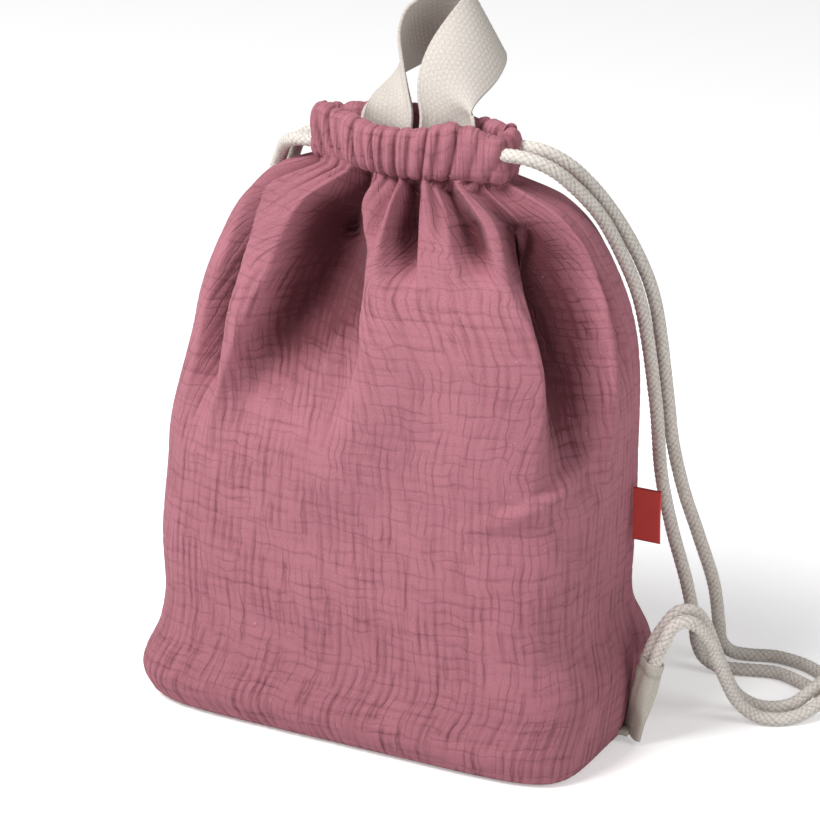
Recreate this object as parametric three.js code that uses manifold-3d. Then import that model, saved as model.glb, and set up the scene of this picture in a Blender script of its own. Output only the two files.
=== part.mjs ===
// Drawstring backpack in crinkled cotton: a gathered bag with two drawstring channels at its mouth,
// two braided cords that end in canvas tabs at the lower corners, a webbing hand loop and a side label.
// Millimetres, +Z up, front towards -Y, standing on its base at z = 0.
import * as THREE from 'three';
import Module from 'manifold-3d';
import { mergeVertices } from 'three/addons/utils/BufferGeometryUtils.js';

// Clearance between pieces that touch on the real bag.
const GAP = 0.3;

// Bag body: its widest outer sizes near the floor, and how square the outline is at each height.
const BAG_WIDTH = 238;
const BAG_DEPTH = 138;
const FABRIC = 1.8;
const BASE_THICKNESS = 2.2;
const FOOT_SQUARE = 7;
const BULGE_HEIGHT = 24;
const BULGE_SQUARE = 5.5;
const WAIST_HEIGHT = 62;
const WAIST_SQUARE = 4.6;
const BELLY_HEIGHT = 130;
const BELLY_SQUARE = 3.5;
const SHOULDER_HEIGHT = 202;
const SHOULDER_SQUARE = 3;
const SLOPE_HEIGHT = 248;
const SLOPE_SQUARE = 2.6;
const NECK_HEIGHT = 276;
const NECK_SQUARE = 2.2;
// How far the gathered neck stands out past the channel's centre line, at its ends and in its middle.
const NECK_SPREAD_X = 2;
const NECK_SPREAD_Y = 3;
// The filled bag leans: its foot sits a little left of and ahead of its mouth.
const FOOT_SHIFT_X = -4;
const BULGE_SHIFT_X = -6;
const MOUTH_SHIFT_X = 3;
const FOOT_SHIFT_Y = -6;
// The right side seam swings back from the tab to the label, then forward again to the mouth.
const BULGE_SEAM_Y = 6;
const LABEL_SEAM_Y = 25;
const SHOULDER_SEAM_Y = 18;
const SLOPE_SEAM_Y = 7;

// Drawstring channels: a tunnel in each lip of the mouth, closer together at the ends than in the middle.
const CHANNEL_HALF_LENGTH = 50;
const CHANNEL_MID_Y = 18;
const CHANNEL_END_Y = 7.6;
const CHANNEL_WALL = 1.8;
const CHANNEL_HEM = 3.6;

// Cords: two side by side in each channel, one above the other.
const CORD_DIAMETER = 6.4;
const CORD_SIDES = 8;
const CORD_STEP = 15;
const CORD_CLEARANCE = 0.5;

// Hand loop: webbing sewn inside the back lip.
const WEBBING_WIDTH = 38;
const WEBBING_THICKNESS = 1.8;
const HANDLE_LEG_GAP = 1.5;
const HANDLE_FREE_HEIGHT = 5;
const HANDLE_HINGE_GAP = 0.8;
// The free loop is rolled like a cone whose tip would stand above it and behind its two ends.
const LOOP_TIP_X = 6;
const LOOP_TIP_Y = 38;
const LOOP_TIP_RISE = 68.8;
const LOOP_SLOPE = THREE.MathUtils.degToRad(27.5);
const LOOP_REACH = 33;
const LOOP_TURN = THREE.MathUtils.degToRad(49);
// Its left side bulges out, and each leg turns to face its end over this height.
const LOOP_BULGE = 13;
const LOOP_BULGE_LENGTH = 26;
const LOOP_BULGE_RISE = 34;
const LOOP_BULGE_TURN = THREE.MathUtils.degToRad(207.5);
const LEFT_LEG_TWIST = 22;
const RIGHT_LEG_TWIST = 36;

// Canvas tabs at the lower corners, each a sleeve over two cord ends.
const TAB_LENGTH = 42;
const TAB_POCKET = 24;
const CANVAS = 1.2;
const TAB_FOOT_HEIGHT = 4;
const TAB_TAIL_WIDTH = 12;
const TAB_SEAM_Y = 3;
const RIGHT_TAB_STAND_OFF = 11;
const RIGHT_TAB_LEAN = 13.7;
const RIGHT_TAB_TURN = -40;
const LEFT_TAB_STAND_OFF = 13.3;
const LEFT_TAB_LEAN = 1;
const LEFT_TAB_TURN = 90;

// Woven label folded into the right side seam.
const LABEL_WIDTH = 14.5;
const LABEL_HEIGHT = 27;
const LABEL_THICKNESS = 1.2;
const LABEL_FOOT_HEIGHT = 96;

// How finely the curved walls are faceted.
const BASE_COLUMNS = 22;
const WALL_COLUMNS = 28;
const WALL_ROWS = 17;
const WALL_ROW_CROWDING = 1.25;
const CHANNEL_STATIONS = 18;
const LOOP_ROWS = 39;
const LOOP_COLUMNS = 6;

const NECK_WIDTH = 2 * (CHANNEL_HALF_LENGTH + NECK_SPREAD_X);
const NECK_DEPTH = 2 * (CHANNEL_MID_Y + NECK_SPREAD_Y);
const LANE_RISE = (CORD_DIAMETER + GAP) / 2;
const TUNNEL_HEIGHT = 2 * CORD_DIAMETER + GAP + 2 * CORD_CLEARANCE;
const TUNNEL_WIDTH = CORD_DIAMETER + 2 * CORD_CLEARANCE;
const CHANNEL_HEIGHT = TUNNEL_HEIGHT + 2 * CHANNEL_HEM;
const CHANNEL_THICKNESS = TUNNEL_WIDTH + 2 * CHANNEL_WALL;
const CHANNEL_MID_Z = NECK_HEIGHT + GAP + CHANNEL_HEIGHT / 2;
const CHANNEL_TOP = NECK_HEIGHT + GAP + CHANNEL_HEIGHT;
const RIGHT_LANE_Z = CHANNEL_MID_Z + LANE_RISE;
const LEFT_LANE_Z = CHANNEL_MID_Z - LANE_RISE;
const CHANNEL_LEFT_X = MOUTH_SHIFT_X - CHANNEL_HALF_LENGTH;
const CHANNEL_RIGHT_X = MOUTH_SHIFT_X + CHANNEL_HALF_LENGTH;

const FRONT = -1;
const BACK = 1;

const wasm = await Module();
wasm.setup();

const materials = {
  cotton: new THREE.MeshStandardMaterial({ color: 0xb4707f, roughness: 0.92, metalness: 0 }),
  channel: new THREE.MeshStandardMaterial({ color: 0x9a5867, roughness: 0.92, metalness: 0 }),
  cord: new THREE.MeshStandardMaterial({ color: 0xb8b0aa, roughness: 0.85, metalness: 0 }),
  webbing: new THREE.MeshStandardMaterial({ color: 0xdfd5cc, roughness: 0.85, metalness: 0 }),
  canvas: new THREE.MeshStandardMaterial({ color: 0xb9b4a6, roughness: 0.88, metalness: 0 }),
  label: new THREE.MeshStandardMaterial({ color: 0xbe4141, roughness: 0.7, metalness: 0 }),
};

const backpack = new THREE.Group();

function addPiece(name, geometry, material) {
  const mesh = new THREE.Mesh(geometry, material);
  mesh.name = name;
  backpack.add(mesh);
  return mesh;
}

// A closed solid from flat lists of points and triangles.
function solidFrom(points, triangles) {
  const geometry = new THREE.BufferGeometry();
  geometry.setAttribute('position', new THREE.Float32BufferAttribute(points.flatMap((p) => [p.x, p.y, p.z]), 3));
  geometry.setIndex(triangles);
  return geometry;
}

// A wall between an outer and an inner grid of points, closed along its four edges.
function wallBetween(outer, inner) {
  const rows = outer.length;
  const columns = outer[0].length;
  const points = [...outer.flat(), ...inner.flat()];
  const at = (side, row, column) => side * rows * columns + row * columns + column;
  const triangles = [];
  const quad = (a, b, c, d) => triangles.push(a, b, c, a, c, d);
  for (let row = 0; row < rows - 1; row += 1) {
    for (let column = 0; column < columns - 1; column += 1) {
      quad(at(0, row, column), at(0, row, column + 1), at(0, row + 1, column + 1), at(0, row + 1, column));
      quad(at(1, row, column), at(1, row + 1, column), at(1, row + 1, column + 1), at(1, row, column + 1));
    }
    quad(at(0, row, 0), at(0, row + 1, 0), at(1, row + 1, 0), at(1, row, 0));
    const last = columns - 1;
    quad(at(0, row, last), at(1, row, last), at(1, row + 1, last), at(0, row + 1, last));
  }
  for (let column = 0; column < columns - 1; column += 1) {
    quad(at(0, 0, column), at(1, 0, column), at(1, 0, column + 1), at(0, 0, column + 1));
    const top = rows - 1;
    quad(at(0, top, column), at(0, top, column + 1), at(1, top, column + 1), at(1, top, column));
  }
  return solidFrom(points, triangles);
}

// A bar through a row of equal rings, each listed counterclockwise seen from the far end, capped flat.
function barThrough(rings) {
  const count = rings[0].length;
  const triangles = [];
  const at = (ring, point) => ring * count + (point % count);
  for (let ring = 0; ring < rings.length - 1; ring += 1) {
    for (let point = 0; point < count; point += 1) {
      const a = at(ring, point);
      const b = at(ring, point + 1);
      const c = at(ring + 1, point + 1);
      const d = at(ring + 1, point);
      triangles.push(a, b, c, a, c, d);
    }
  }
  const last = rings.length - 1;
  for (let point = 1; point < count - 1; point += 1) {
    triangles.push(at(0, 0), at(0, point + 1), at(0, point));
    triangles.push(at(last, 0), at(last, point), at(last, point + 1));
  }
  return solidFrom(rings.flat(), triangles);
}

// A tunnel through rows of outer and inner rings: the same bar with a hole along it.
function tunnelThrough(outer, inner) {
  const count = outer[0].length;
  const stations = outer.length;
  const at = (side, ring, point) => (side * stations + ring) * count + (point % count);
  const triangles = [];
  const quad = (a, b, c, d) => triangles.push(a, b, c, a, c, d);
  for (let ring = 0; ring < stations - 1; ring += 1) {
    for (let point = 0; point < count; point += 1) {
      quad(at(0, ring, point), at(0, ring, point + 1), at(0, ring + 1, point + 1), at(0, ring + 1, point));
      quad(at(1, ring, point), at(1, ring + 1, point), at(1, ring + 1, point + 1), at(1, ring, point + 1));
    }
  }
  const last = stations - 1;
  for (let point = 0; point < count; point += 1) {
    quad(at(0, 0, point), at(1, 0, point), at(1, 0, point + 1), at(0, 0, point + 1));
    quad(at(0, last, point), at(0, last, point + 1), at(1, last, point + 1), at(1, last, point));
  }
  return solidFrom([...outer.flat(), ...inner.flat()], triangles);
}

function toManifold(geometry) {
  const plain = geometry.clone();
  plain.deleteAttribute('normal');
  plain.deleteAttribute('uv');
  const merged = mergeVertices(plain, 1e-4);
  return new wasm.Manifold(new wasm.Mesh({
    numProp: 3,
    vertProperties: new Float32Array(merged.attributes.position.array),
    triVerts: new Uint32Array(merged.index.array),
  }));
}

function fromManifold(body) {
  const mesh = body.getMesh();
  const geometry = new THREE.BufferGeometry();
  geometry.setAttribute('position', new THREE.BufferAttribute(new Float32Array(mesh.vertProperties), 3));
  geometry.setIndex(new THREE.BufferAttribute(new Uint32Array(mesh.triVerts), 1));
  return geometry;
}

// Bag body: a superellipse at each height, eased from one level to the next.
// Each level is its height, width, depth, squareness, shift and the place of the right seam; the sizes are
// shares of the bag's widest ones.
const levels = [
  [0, 0.941 * BAG_WIDTH, 0.913 * BAG_DEPTH, FOOT_SQUARE, FOOT_SHIFT_X, FOOT_SHIFT_Y, TAB_SEAM_Y],
  [BULGE_HEIGHT, BAG_WIDTH, BAG_DEPTH, BULGE_SQUARE, BULGE_SHIFT_X, FOOT_SHIFT_Y, BULGE_SEAM_Y],
  [WAIST_HEIGHT, 0.924 * BAG_WIDTH, 0.957 * BAG_DEPTH, WAIST_SQUARE, FOOT_SHIFT_X, FOOT_SHIFT_Y, LABEL_SEAM_Y],
  [BELLY_HEIGHT, 0.95 * BAG_WIDTH, 0.964 * BAG_DEPTH, BELLY_SQUARE, FOOT_SHIFT_X, 0, LABEL_SEAM_Y],
  [SHOULDER_HEIGHT, 0.887 * BAG_WIDTH, 0.92 * BAG_DEPTH, SHOULDER_SQUARE, MOUTH_SHIFT_X, 0, SHOULDER_SEAM_Y],
  [SLOPE_HEIGHT, 0.74 * BAG_WIDTH, 0.739 * BAG_DEPTH, SLOPE_SQUARE, MOUTH_SHIFT_X, 0, SLOPE_SEAM_Y],
  [NECK_HEIGHT, NECK_WIDTH, NECK_DEPTH, NECK_SQUARE, MOUTH_SHIFT_X, 0, 0],
];

// One value of the level table at a height, on a curve with level ends that never overshoots.
function eased(height, column) {
  let lower = 0;
  while (lower < levels.length - 2 && height > levels[lower + 1][0]) lower += 1;
  const slopeOf = (k) => (levels[k + 1][column] - levels[k][column]) / (levels[k + 1][0] - levels[k][0]);
  const tangentOf = (k) => {
    if (k === 0) return slopeOf(0);
    if (k === levels.length - 1) return slopeOf(k - 1);
    const before = slopeOf(k - 1);
    const after = slopeOf(k);
    return before * after <= 0 ? 0 : (2 * before * after) / (before + after);
  };
  const span = levels[lower + 1][0] - levels[lower][0];
  const t = (height - levels[lower][0]) / span;
  const start = levels[lower][column];
  const end = levels[lower + 1][column];
  return start * (1 + 2 * t) * (1 - t) ** 2 + span * tangentOf(lower) * t * (1 - t) ** 2
    + end * t * t * (3 - 2 * t) + span * tangentOf(lower + 1) * t * t * (t - 1);
}

function outlineAt(height) {
  return {
    halfWidth: eased(height, 1) / 2,
    halfDepth: eased(height, 2) / 2,
    square: eased(height, 3),
    x: eased(height, 4),
    y: eased(height, 5),
    rightSeamY: eased(height, 6),
  };
}

// Depth of the side seam that a point of the outline is nearest to.
function seamY(o, x) {
  return x > o.x ? o.rightSeamY : o.y;
}

// Points along the front or back half of the outline, evenly spaced, from its left seam to its right seam.
function halfOutline(height, side, columns, seamGap) {
  const o = outlineAt(height);
  const fine = 400;
  const seamAngle = Math.asin(((o.rightSeamY - o.y) / o.halfDepth) ** (o.square / 2));
  const trace = [];
  for (let i = 0; i <= fine; i += 1) {
    const angle = Math.PI - ((Math.PI - side * seamAngle) * i) / fine;
    const c = Math.cos(angle);
    const s = Math.sin(angle);
    const x = o.x + Math.sign(c) * o.halfWidth * Math.abs(c) ** (2 / o.square);
    const y = o.y + side * Math.sign(s) * o.halfDepth * Math.abs(s) ** (2 / o.square);
    trace.push(new THREE.Vector3(x, seamY(o, x) + side * Math.max(side * (y - seamY(o, x)), seamGap), height));
  }
  const lengths = [0];
  for (let i = 1; i <= fine; i += 1) lengths.push(lengths[i - 1] + trace[i].distanceTo(trace[i - 1]));
  const points = [];
  let k = 0;
  for (let j = 0; j <= columns; j += 1) {
    const target = (lengths[fine] * j) / columns;
    while (k < fine - 1 && lengths[k + 1] < target) k += 1;
    const share = (target - lengths[k]) / Math.max(lengths[k + 1] - lengths[k], 1e-9);
    points.push(trace[k].clone().lerp(trace[k + 1], Math.min(share, 1)));
  }
  return points;
}

// How far a point lies outside the body, as the value of the outline's own formula.
function outlineValue(p) {
  const o = outlineAt(p.z);
  return Math.abs((p.x - o.x) / o.halfWidth) ** o.square + Math.abs((p.y - o.y) / o.halfDepth) ** o.square;
}

function bodyNormal(p) {
  const h = 0.05;
  const slope = (axis) => {
    const ahead = p.clone();
    const behind = p.clone();
    ahead[axis] += h;
    behind[axis] -= h;
    ahead.z = Math.min(ahead.z, NECK_HEIGHT);
    behind.z = Math.max(behind.z, 0);
    return (outlineValue(ahead) - outlineValue(behind)) / (2 * h);
  };
  return new THREE.Vector3(slope('x'), slope('y'), slope('z')).normalize();
}

// Folds that the drawstring gathers into a panel. Each has its reach to the left and right, as shares of the bag's
// width, and stations up the bag: a share of the neck's height, a share across, and a share of the bag's depth.
const frontFolds = [
  {
    left: 0.08,
    right: 0.06,
    stations: [
      [0.45, 0.2, 0], [0.6, 0.21, 0.03], [0.72, 0.215, 0.012], [0.775, 0.215, 0],
      [0.82, 0.213, 0.025], [0.87, 0.21, 0.04], [0.935, 0.18, 0.004], [0.96, 0.16, 0.06],
      [1, 0.13, 0],
    ],
  },
  {
    left: 0.14,
    right: 0.08,
    stations: [
      [0.45, 0.4, 0], [0.6, 0.41, 0.07], [0.7, 0.42, 0.09], [0.8, 0.42, 0.09], [0.87, 0.425, 0.105],
      [0.89, 0.42, 0.085], [0.935, 0.41, 0.085], [0.965, 0.4, 0.13], [1, 0.38, 0],
    ],
  },
  {
    left: 0.05,
    right: 0.035,
    stations: [
      [0.9, 0.56, 0], [0.935, 0.56, 0.05], [0.97, 0.555, 0.08], [1, 0.55, 0],
    ],
  },
  {
    left: 0.05,
    right: 0.04,
    stations: [
      [0.9, 0.71, 0], [0.94, 0.7, 0.05], [0.97, 0.69, 0.06], [1, 0.69, 0],
    ],
  },
  {
    left: 0.11,
    right: 0.06,
    stations: [
      [0.48, 0.86, 0], [0.62, 0.865, 0.04], [0.7, 0.86, 0.015], [0.775, 0.855, 0], [0.81, 0.855, 0.03],
      [0.85, 0.85, 0.06], [0.88, 0.85, 0.03], [0.935, 0.85, 0.004], [0.965, 0.845, 0.1], [1, 0.84, 0],
    ],
  },
];
const backFolds = [
  {
    left: 0.09,
    right: 0.07,
    stations: [
      [0.55, 0.29, 0], [0.7, 0.29, 0.05], [0.8, 0.285, 0.05], [0.87, 0.28, 0.065],
      [0.9, 0.275, 0.044], [0.935, 0.27, 0.028], [0.965, 0.27, 0.07], [1, 0.26, 0],
    ],
  },
  {
    left: 0.07,
    right: 0.08,
    stations: [
      [0.6, 0.58, 0], [0.75, 0.58, 0.05], [0.88, 0.57, 0.08], [0.96, 0.56, 0.06], [1, 0.54, 0],
    ],
  },
  {
    left: 0.08,
    right: 0.09,
    stations: [
      [0.55, 0.82, 0], [0.68, 0.82, 0.03], [0.775, 0.81, 0], [0.82, 0.805, 0.02], [0.86, 0.8, 0.035],
      [0.9, 0.8, 0.02], [0.935, 0.795, 0.008], [0.965, 0.79, 0.06], [1, 0.78, 0],
    ],
  },
];

// Depth of the folds at a height and a share across a panel whose outline has a given length there.
function foldDepth(side, height, share, length) {
  const level = height / NECK_HEIGHT;
  let depth = 0;
  for (const fold of side === FRONT ? frontFolds : backFolds) {
    const above = fold.stations.findIndex((station) => station[0] >= level);
    if (above > 0) {
      const low = fold.stations[above - 1];
      const high = fold.stations[above];
      const t = (level - low[0]) / (high[0] - low[0]);
      const away = (share - (low[1] + (high[1] - low[1]) * t)) * length;
      const reach = (away < 0 ? fold.left : fold.right) * BAG_WIDTH;
      const wall = Math.cos((Math.min(Math.abs(away) / reach, 1) * Math.PI) / 2) ** 2;
      depth += (low[2] + (high[2] - low[2]) * t) * BAG_DEPTH * wall;
    }
  }
  return depth;
}

function panel(side) {
  const foot = BASE_THICKNESS + GAP;
  const outer = [];
  const inner = [];
  for (let row = 0; row <= WALL_ROWS; row += 1) {
    const height = foot + (NECK_HEIGHT - foot) * (1 - (1 - row / WALL_ROWS) ** WALL_ROW_CROWDING);
    const plain = halfOutline(height, side, WALL_COLUMNS, GAP / 2);
    const length = plain[0].distanceTo(plain[1]) * WALL_COLUMNS;
    const line = plain.map((p, column) => {
      const normal = bodyNormal(p).setZ(0).normalize();
      return p.clone().addScaledVector(normal, -foldDepth(side, height, column / WALL_COLUMNS, length));
    });
    const under = line.map((p, column) => {
      const normal = bodyNormal(plain[column]);
      normal.z = row === 0 || row === WALL_ROWS ? 0 : normal.z;
      const q = p.clone().addScaledVector(normal.normalize(), -FABRIC);
      const seam = seamY(outlineAt(height), q.x);
      q.y = seam + side * Math.max(side * (q.y - seam), GAP / 2);
      return q;
    });
    if (side === BACK) {
      line.reverse();
      under.reverse();
    }
    outer.push(line);
    inner.push(under);
  }
  return wallBetween(outer, inner);
}

addPiece('front_panel', panel(FRONT), materials.cotton);
addPiece('back_panel', panel(BACK), materials.cotton);

// Flat base that the two panels are sewn to.
const baseShape = new THREE.Shape();
const baseFront = halfOutline(BASE_THICKNESS, FRONT, BASE_COLUMNS, 0);
const baseBack = halfOutline(BASE_THICKNESS, BACK, BASE_COLUMNS, 0).reverse();
baseShape.setFromPoints([...baseFront.slice(0, -1), ...baseBack.slice(0, -1)].map((p) => new THREE.Vector2(p.x, p.y)));
const baseGeometry = new THREE.ExtrudeGeometry(baseShape, { depth: BASE_THICKNESS, bevelEnabled: false });
addPiece('base_panel', baseGeometry, materials.cotton);

// Centre line of a channel: y at a given x, easing from its ends to the middle of the mouth.
function channelY(x, side) {
  const share = (x - MOUTH_SHIFT_X) / CHANNEL_HALF_LENGTH;
  const bow = 0.5 + 0.5 * Math.cos(Math.PI * share);
  return side * (CHANNEL_END_Y + (CHANNEL_MID_Y - CHANNEL_END_Y) * bow);
}

// A rounded upright ring across a channel, at one point along it.
function channelRing(x, side, width, height) {
  const nearby = 0.01;
  const slope = (channelY(x + nearby, side) - channelY(x - nearby, side)) / (2 * nearby);
  const across = new THREE.Vector3(-slope, 1, 0).normalize();
  const atEnd = Math.abs(Math.abs(x - MOUTH_SHIFT_X) - CHANNEL_HALF_LENGTH) < nearby;
  if (atEnd) across.set(0, 1, 0);
  const corner = Math.min(width, height) * 0.3;
  const ring = [];
  const corners = [[1, 1], [-1, 1], [-1, -1], [1, -1]];
  corners.forEach(([u, v], index) => {
    for (const turn of [0, 45, 90]) {
      const angle = ((index * 90 + turn) * Math.PI) / 180;
      const du = u * (width / 2 - corner) + corner * Math.cos(angle);
      const dv = v * (height / 2 - corner) + corner * Math.sin(angle);
      ring.push(new THREE.Vector3(x, channelY(x, side), CHANNEL_MID_Z + dv).addScaledVector(across, du));
    }
  });
  return ring;
}

function channel(side) {
  const outer = [];
  const inner = [];
  for (let station = 0; station <= CHANNEL_STATIONS; station += 1) {
    const x = CHANNEL_LEFT_X + (2 * CHANNEL_HALF_LENGTH * station) / CHANNEL_STATIONS;
    outer.push(channelRing(x, side, CHANNEL_THICKNESS, CHANNEL_HEIGHT));
    inner.push(channelRing(x, side, TUNNEL_WIDTH, TUNNEL_HEIGHT));
  }
  return tunnelThrough(outer, inner);
}

addPiece('front_channel', channel(FRONT), materials.channel);
addPiece('back_channel', channel(BACK), materials.channel);

// A cord along a smooth curve through its route points.
function cord(points, steps) {
  const curve = new THREE.CatmullRomCurve3(points);
  const section = new THREE.Shape();
  for (let side = 0; side < CORD_SIDES; side += 1) {
    const angle = (2 * Math.PI * (side + 0.5)) / CORD_SIDES;
    const x = (CORD_DIAMETER / 2) * Math.cos(angle);
    const y = (CORD_DIAMETER / 2) * Math.sin(angle);
    if (side === 0) section.moveTo(x, y);
    else section.lineTo(x, y);
  }
  section.closePath();
  const count = steps ?? Math.round(curve.getLength() / CORD_STEP);
  return new THREE.ExtrudeGeometry(section, { steps: count, bevelEnabled: false, extrudePath: curve });
}

// Cord inside a channel, from end to end of the tunnel.
function channelRun(side, laneZ) {
  const points = [];
  for (let station = 0; station <= CHANNEL_STATIONS; station += 1) {
    const x = CHANNEL_LEFT_X + (2 * CHANNEL_HALF_LENGTH * station) / CHANNEL_STATIONS;
    points.push(new THREE.Vector3(x, channelY(x, side), laneZ));
  }
  return cord(points, CHANNEL_STATIONS);
}

addPiece('right_cord_front_run', channelRun(FRONT, RIGHT_LANE_Z), materials.cord);
addPiece('right_cord_back_run', channelRun(BACK, RIGHT_LANE_Z), materials.cord);
addPiece('left_cord_front_run', channelRun(FRONT, LEFT_LANE_Z), materials.cord);
addPiece('left_cord_back_run', channelRun(BACK, LEFT_LANE_Z), materials.cord);

// Cord turning from the front channel into the back one, at the end that it doesn't leave by.
function crossing(endX, outward, laneZ) {
  const lead = CORD_DIAMETER / 4;
  const turns = 8;
  const points = [new THREE.Vector3(endX + outward * GAP, -CHANNEL_END_Y, laneZ)];
  for (let i = 0; i <= turns; i += 1) {
    const angle = -Math.PI / 2 + (Math.PI * i) / turns;
    const x = endX + outward * (GAP + lead + CHANNEL_END_Y * Math.cos(angle));
    points.push(new THREE.Vector3(x, CHANNEL_END_Y * Math.sin(angle), laneZ));
  }
  points.push(new THREE.Vector3(endX + outward * GAP, CHANNEL_END_Y, laneZ));
  return cord(points, 2 * points.length);
}

addPiece('left_cord_cross', crossing(CHANNEL_RIGHT_X, 1, LEFT_LANE_Z), materials.cord);
addPiece('right_cord_cross', crossing(CHANNEL_LEFT_X, -1, RIGHT_LANE_Z), materials.cord);

// Where the bag's side seam lies at a height.
function seamX(height, outward) {
  const o = outlineAt(height);
  const depth = outward > 0 ? (o.rightSeamY - o.y) / o.halfDepth : 0;
  return o.x + outward * o.halfWidth * (1 - depth ** o.square) ** (1 / o.square);
}

// Place of a tab: its foot, the way its sleeve points, and the way its two cords lie beside each other.
function tabPlace(outward, standOff, lean, turn) {
  const foot = new THREE.Vector3(seamX(TAB_FOOT_HEIGHT, outward) + outward * standOff, TAB_SEAM_Y, TAB_FOOT_HEIGHT);
  const matrix = new THREE.Matrix4().makeTranslation(foot);
  matrix.multiply(new THREE.Matrix4().makeRotationY((lean * Math.PI) / 180));
  matrix.multiply(new THREE.Matrix4().makeRotationZ((turn * Math.PI) / 180));
  return matrix;
}

const rightTabPlace = tabPlace(1, RIGHT_TAB_STAND_OFF, RIGHT_TAB_LEAN, RIGHT_TAB_TURN);
const leftTabPlace = tabPlace(-1, LEFT_TAB_STAND_OFF, LEFT_TAB_LEAN, LEFT_TAB_TURN);

const POCKET_WIDTH = 2 * CORD_DIAMETER + 2 * CORD_CLEARANCE + 2 * GAP;
const POCKET_THICKNESS = CORD_DIAMETER + 2 * CORD_CLEARANCE;
const TAB_WIDTH = POCKET_WIDTH + 2 * CANVAS;
const TAB_THICKNESS = POCKET_THICKNESS + 2 * CANVAS;

// An upright bar with rounded long edges.
function roundedBar(width, thickness, height, foot) {
  const radius = thickness * 0.3;
  const x = width / 2;
  const y = thickness / 2;
  const shape = new THREE.Shape();
  shape.moveTo(-x + radius, -y);
  shape.lineTo(x - radius, -y);
  shape.absarc(x - radius, -y + radius, radius, -Math.PI / 2, 0, false);
  shape.lineTo(x, y - radius);
  shape.absarc(x - radius, y - radius, radius, 0, Math.PI / 2, false);
  shape.lineTo(-x + radius, y);
  shape.absarc(-x + radius, y - radius, radius, Math.PI / 2, Math.PI, false);
  shape.lineTo(-x, -y + radius);
  shape.absarc(-x + radius, -y + radius, radius, Math.PI, 1.5 * Math.PI, false);
  const geometry = new THREE.ExtrudeGeometry(shape, { depth: height, bevelEnabled: false, curveSegments: 3 });
  geometry.translate(0, 0, foot);
  return geometry;
}

function tab(place, outward, standOff) {
  const sleeve = toManifold(roundedBar(TAB_WIDTH, TAB_THICKNESS, TAB_LENGTH, 0).applyMatrix4(place));
  const pocketFoot = TAB_LENGTH - TAB_POCKET;
  const pocketBar = roundedBar(POCKET_WIDTH, POCKET_THICKNESS, TAB_POCKET + CANVAS, pocketFoot);
  const pocket = toManifold(pocketBar.applyMatrix4(place));
  const tailLength = standOff - CANVAS - GAP;
  const tailGeometry = new THREE.BoxGeometry(tailLength, TAB_TAIL_WIDTH, 2 * CANVAS);
  const seam = seamX(TAB_FOOT_HEIGHT + 2 * CANVAS, outward);
  tailGeometry.translate(seam + outward * (GAP + tailLength / 2), TAB_SEAM_Y, TAB_FOOT_HEIGHT + CANVAS);
  return fromManifold(sleeve.add(toManifold(tailGeometry)).subtract(pocket));
}

addPiece('right_tab', tab(rightTabPlace, 1, RIGHT_TAB_STAND_OFF), materials.canvas);
addPiece('left_tab', tab(leftTabPlace, -1, LEFT_TAB_STAND_OFF), materials.canvas);

// Last two points of a strand: straight into its side of a tab's pocket.
function intoTab(place, side) {
  const across = side * (CORD_DIAMETER + GAP * 2) / 2;
  const above = CORD_DIAMETER;
  const end = TAB_LENGTH - TAB_POCKET + GAP;
  return [TAB_LENGTH + above, end].map((height) => new THREE.Vector3(across, 0, height).applyMatrix4(place));
}

// A free strand: out of a channel's end, along its own route, and into a tab.
function strand(endX, outward, side, laneZ, route, place, pocketSide) {
  const exitPoint = new THREE.Vector3(endX + outward * GAP, side * CHANNEL_END_Y, laneZ);
  const straight = exitPoint.clone().add(new THREE.Vector3(outward * 2 * CORD_DIAMETER, 0, 0));
  const middle = route.map(([x, y, z]) => new THREE.Vector3(x, y, z));
  return cord([exitPoint, straight, ...middle, ...intoTab(place, pocketSide)]);
}

// Routes as the cords lie: over the shoulder, down to the floor, round one loose loop and up into the tab.
const RIGHT_FRONT_ROUTE = [
  [74, -2, 285.5], [81, 7, 276], [89.5, 20, 259], [96.5, 31.5, 236.5], [103, 38.5, 213], [108, 49, 159.5],
  [107.5, 60, 116], [110.5, 68, 85.5], [116, 76, 53.5], [118.3, 82.5, 29], [118.5, 86, 17], [121.5, 88.7, 8.4],
  [128, 90.5, 4.3], [138, 93.5, 3.5], [157, 98.5, 3.5], [170, 94.5, 3.5], [197, 80.5, 3.5], [212, 79, 3.5],
  [226, 84.5, 3.5], [235, 97, 3.5], [235, 112, 3.5], [227, 123.5, 3.5], [213, 128.5, 3.5], [200, 126, 3.8],
  [191.5, 117, 6.2], [188.5, 106, 10], [187.5, 94, 11], [185, 78, 10], [178.5, 65.5, 5.2], [169, 60, 3.6],
  [161, 57, 5], [154, 52, 11.5], [149.8, 44, 27.5], [147.5, 34.5, 46], [146, 27.5, 58], [143.2, 20.5, 66.3],
  [138, 13.2, 67.8], [133.5, 8.2, 61.5],
];
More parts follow.
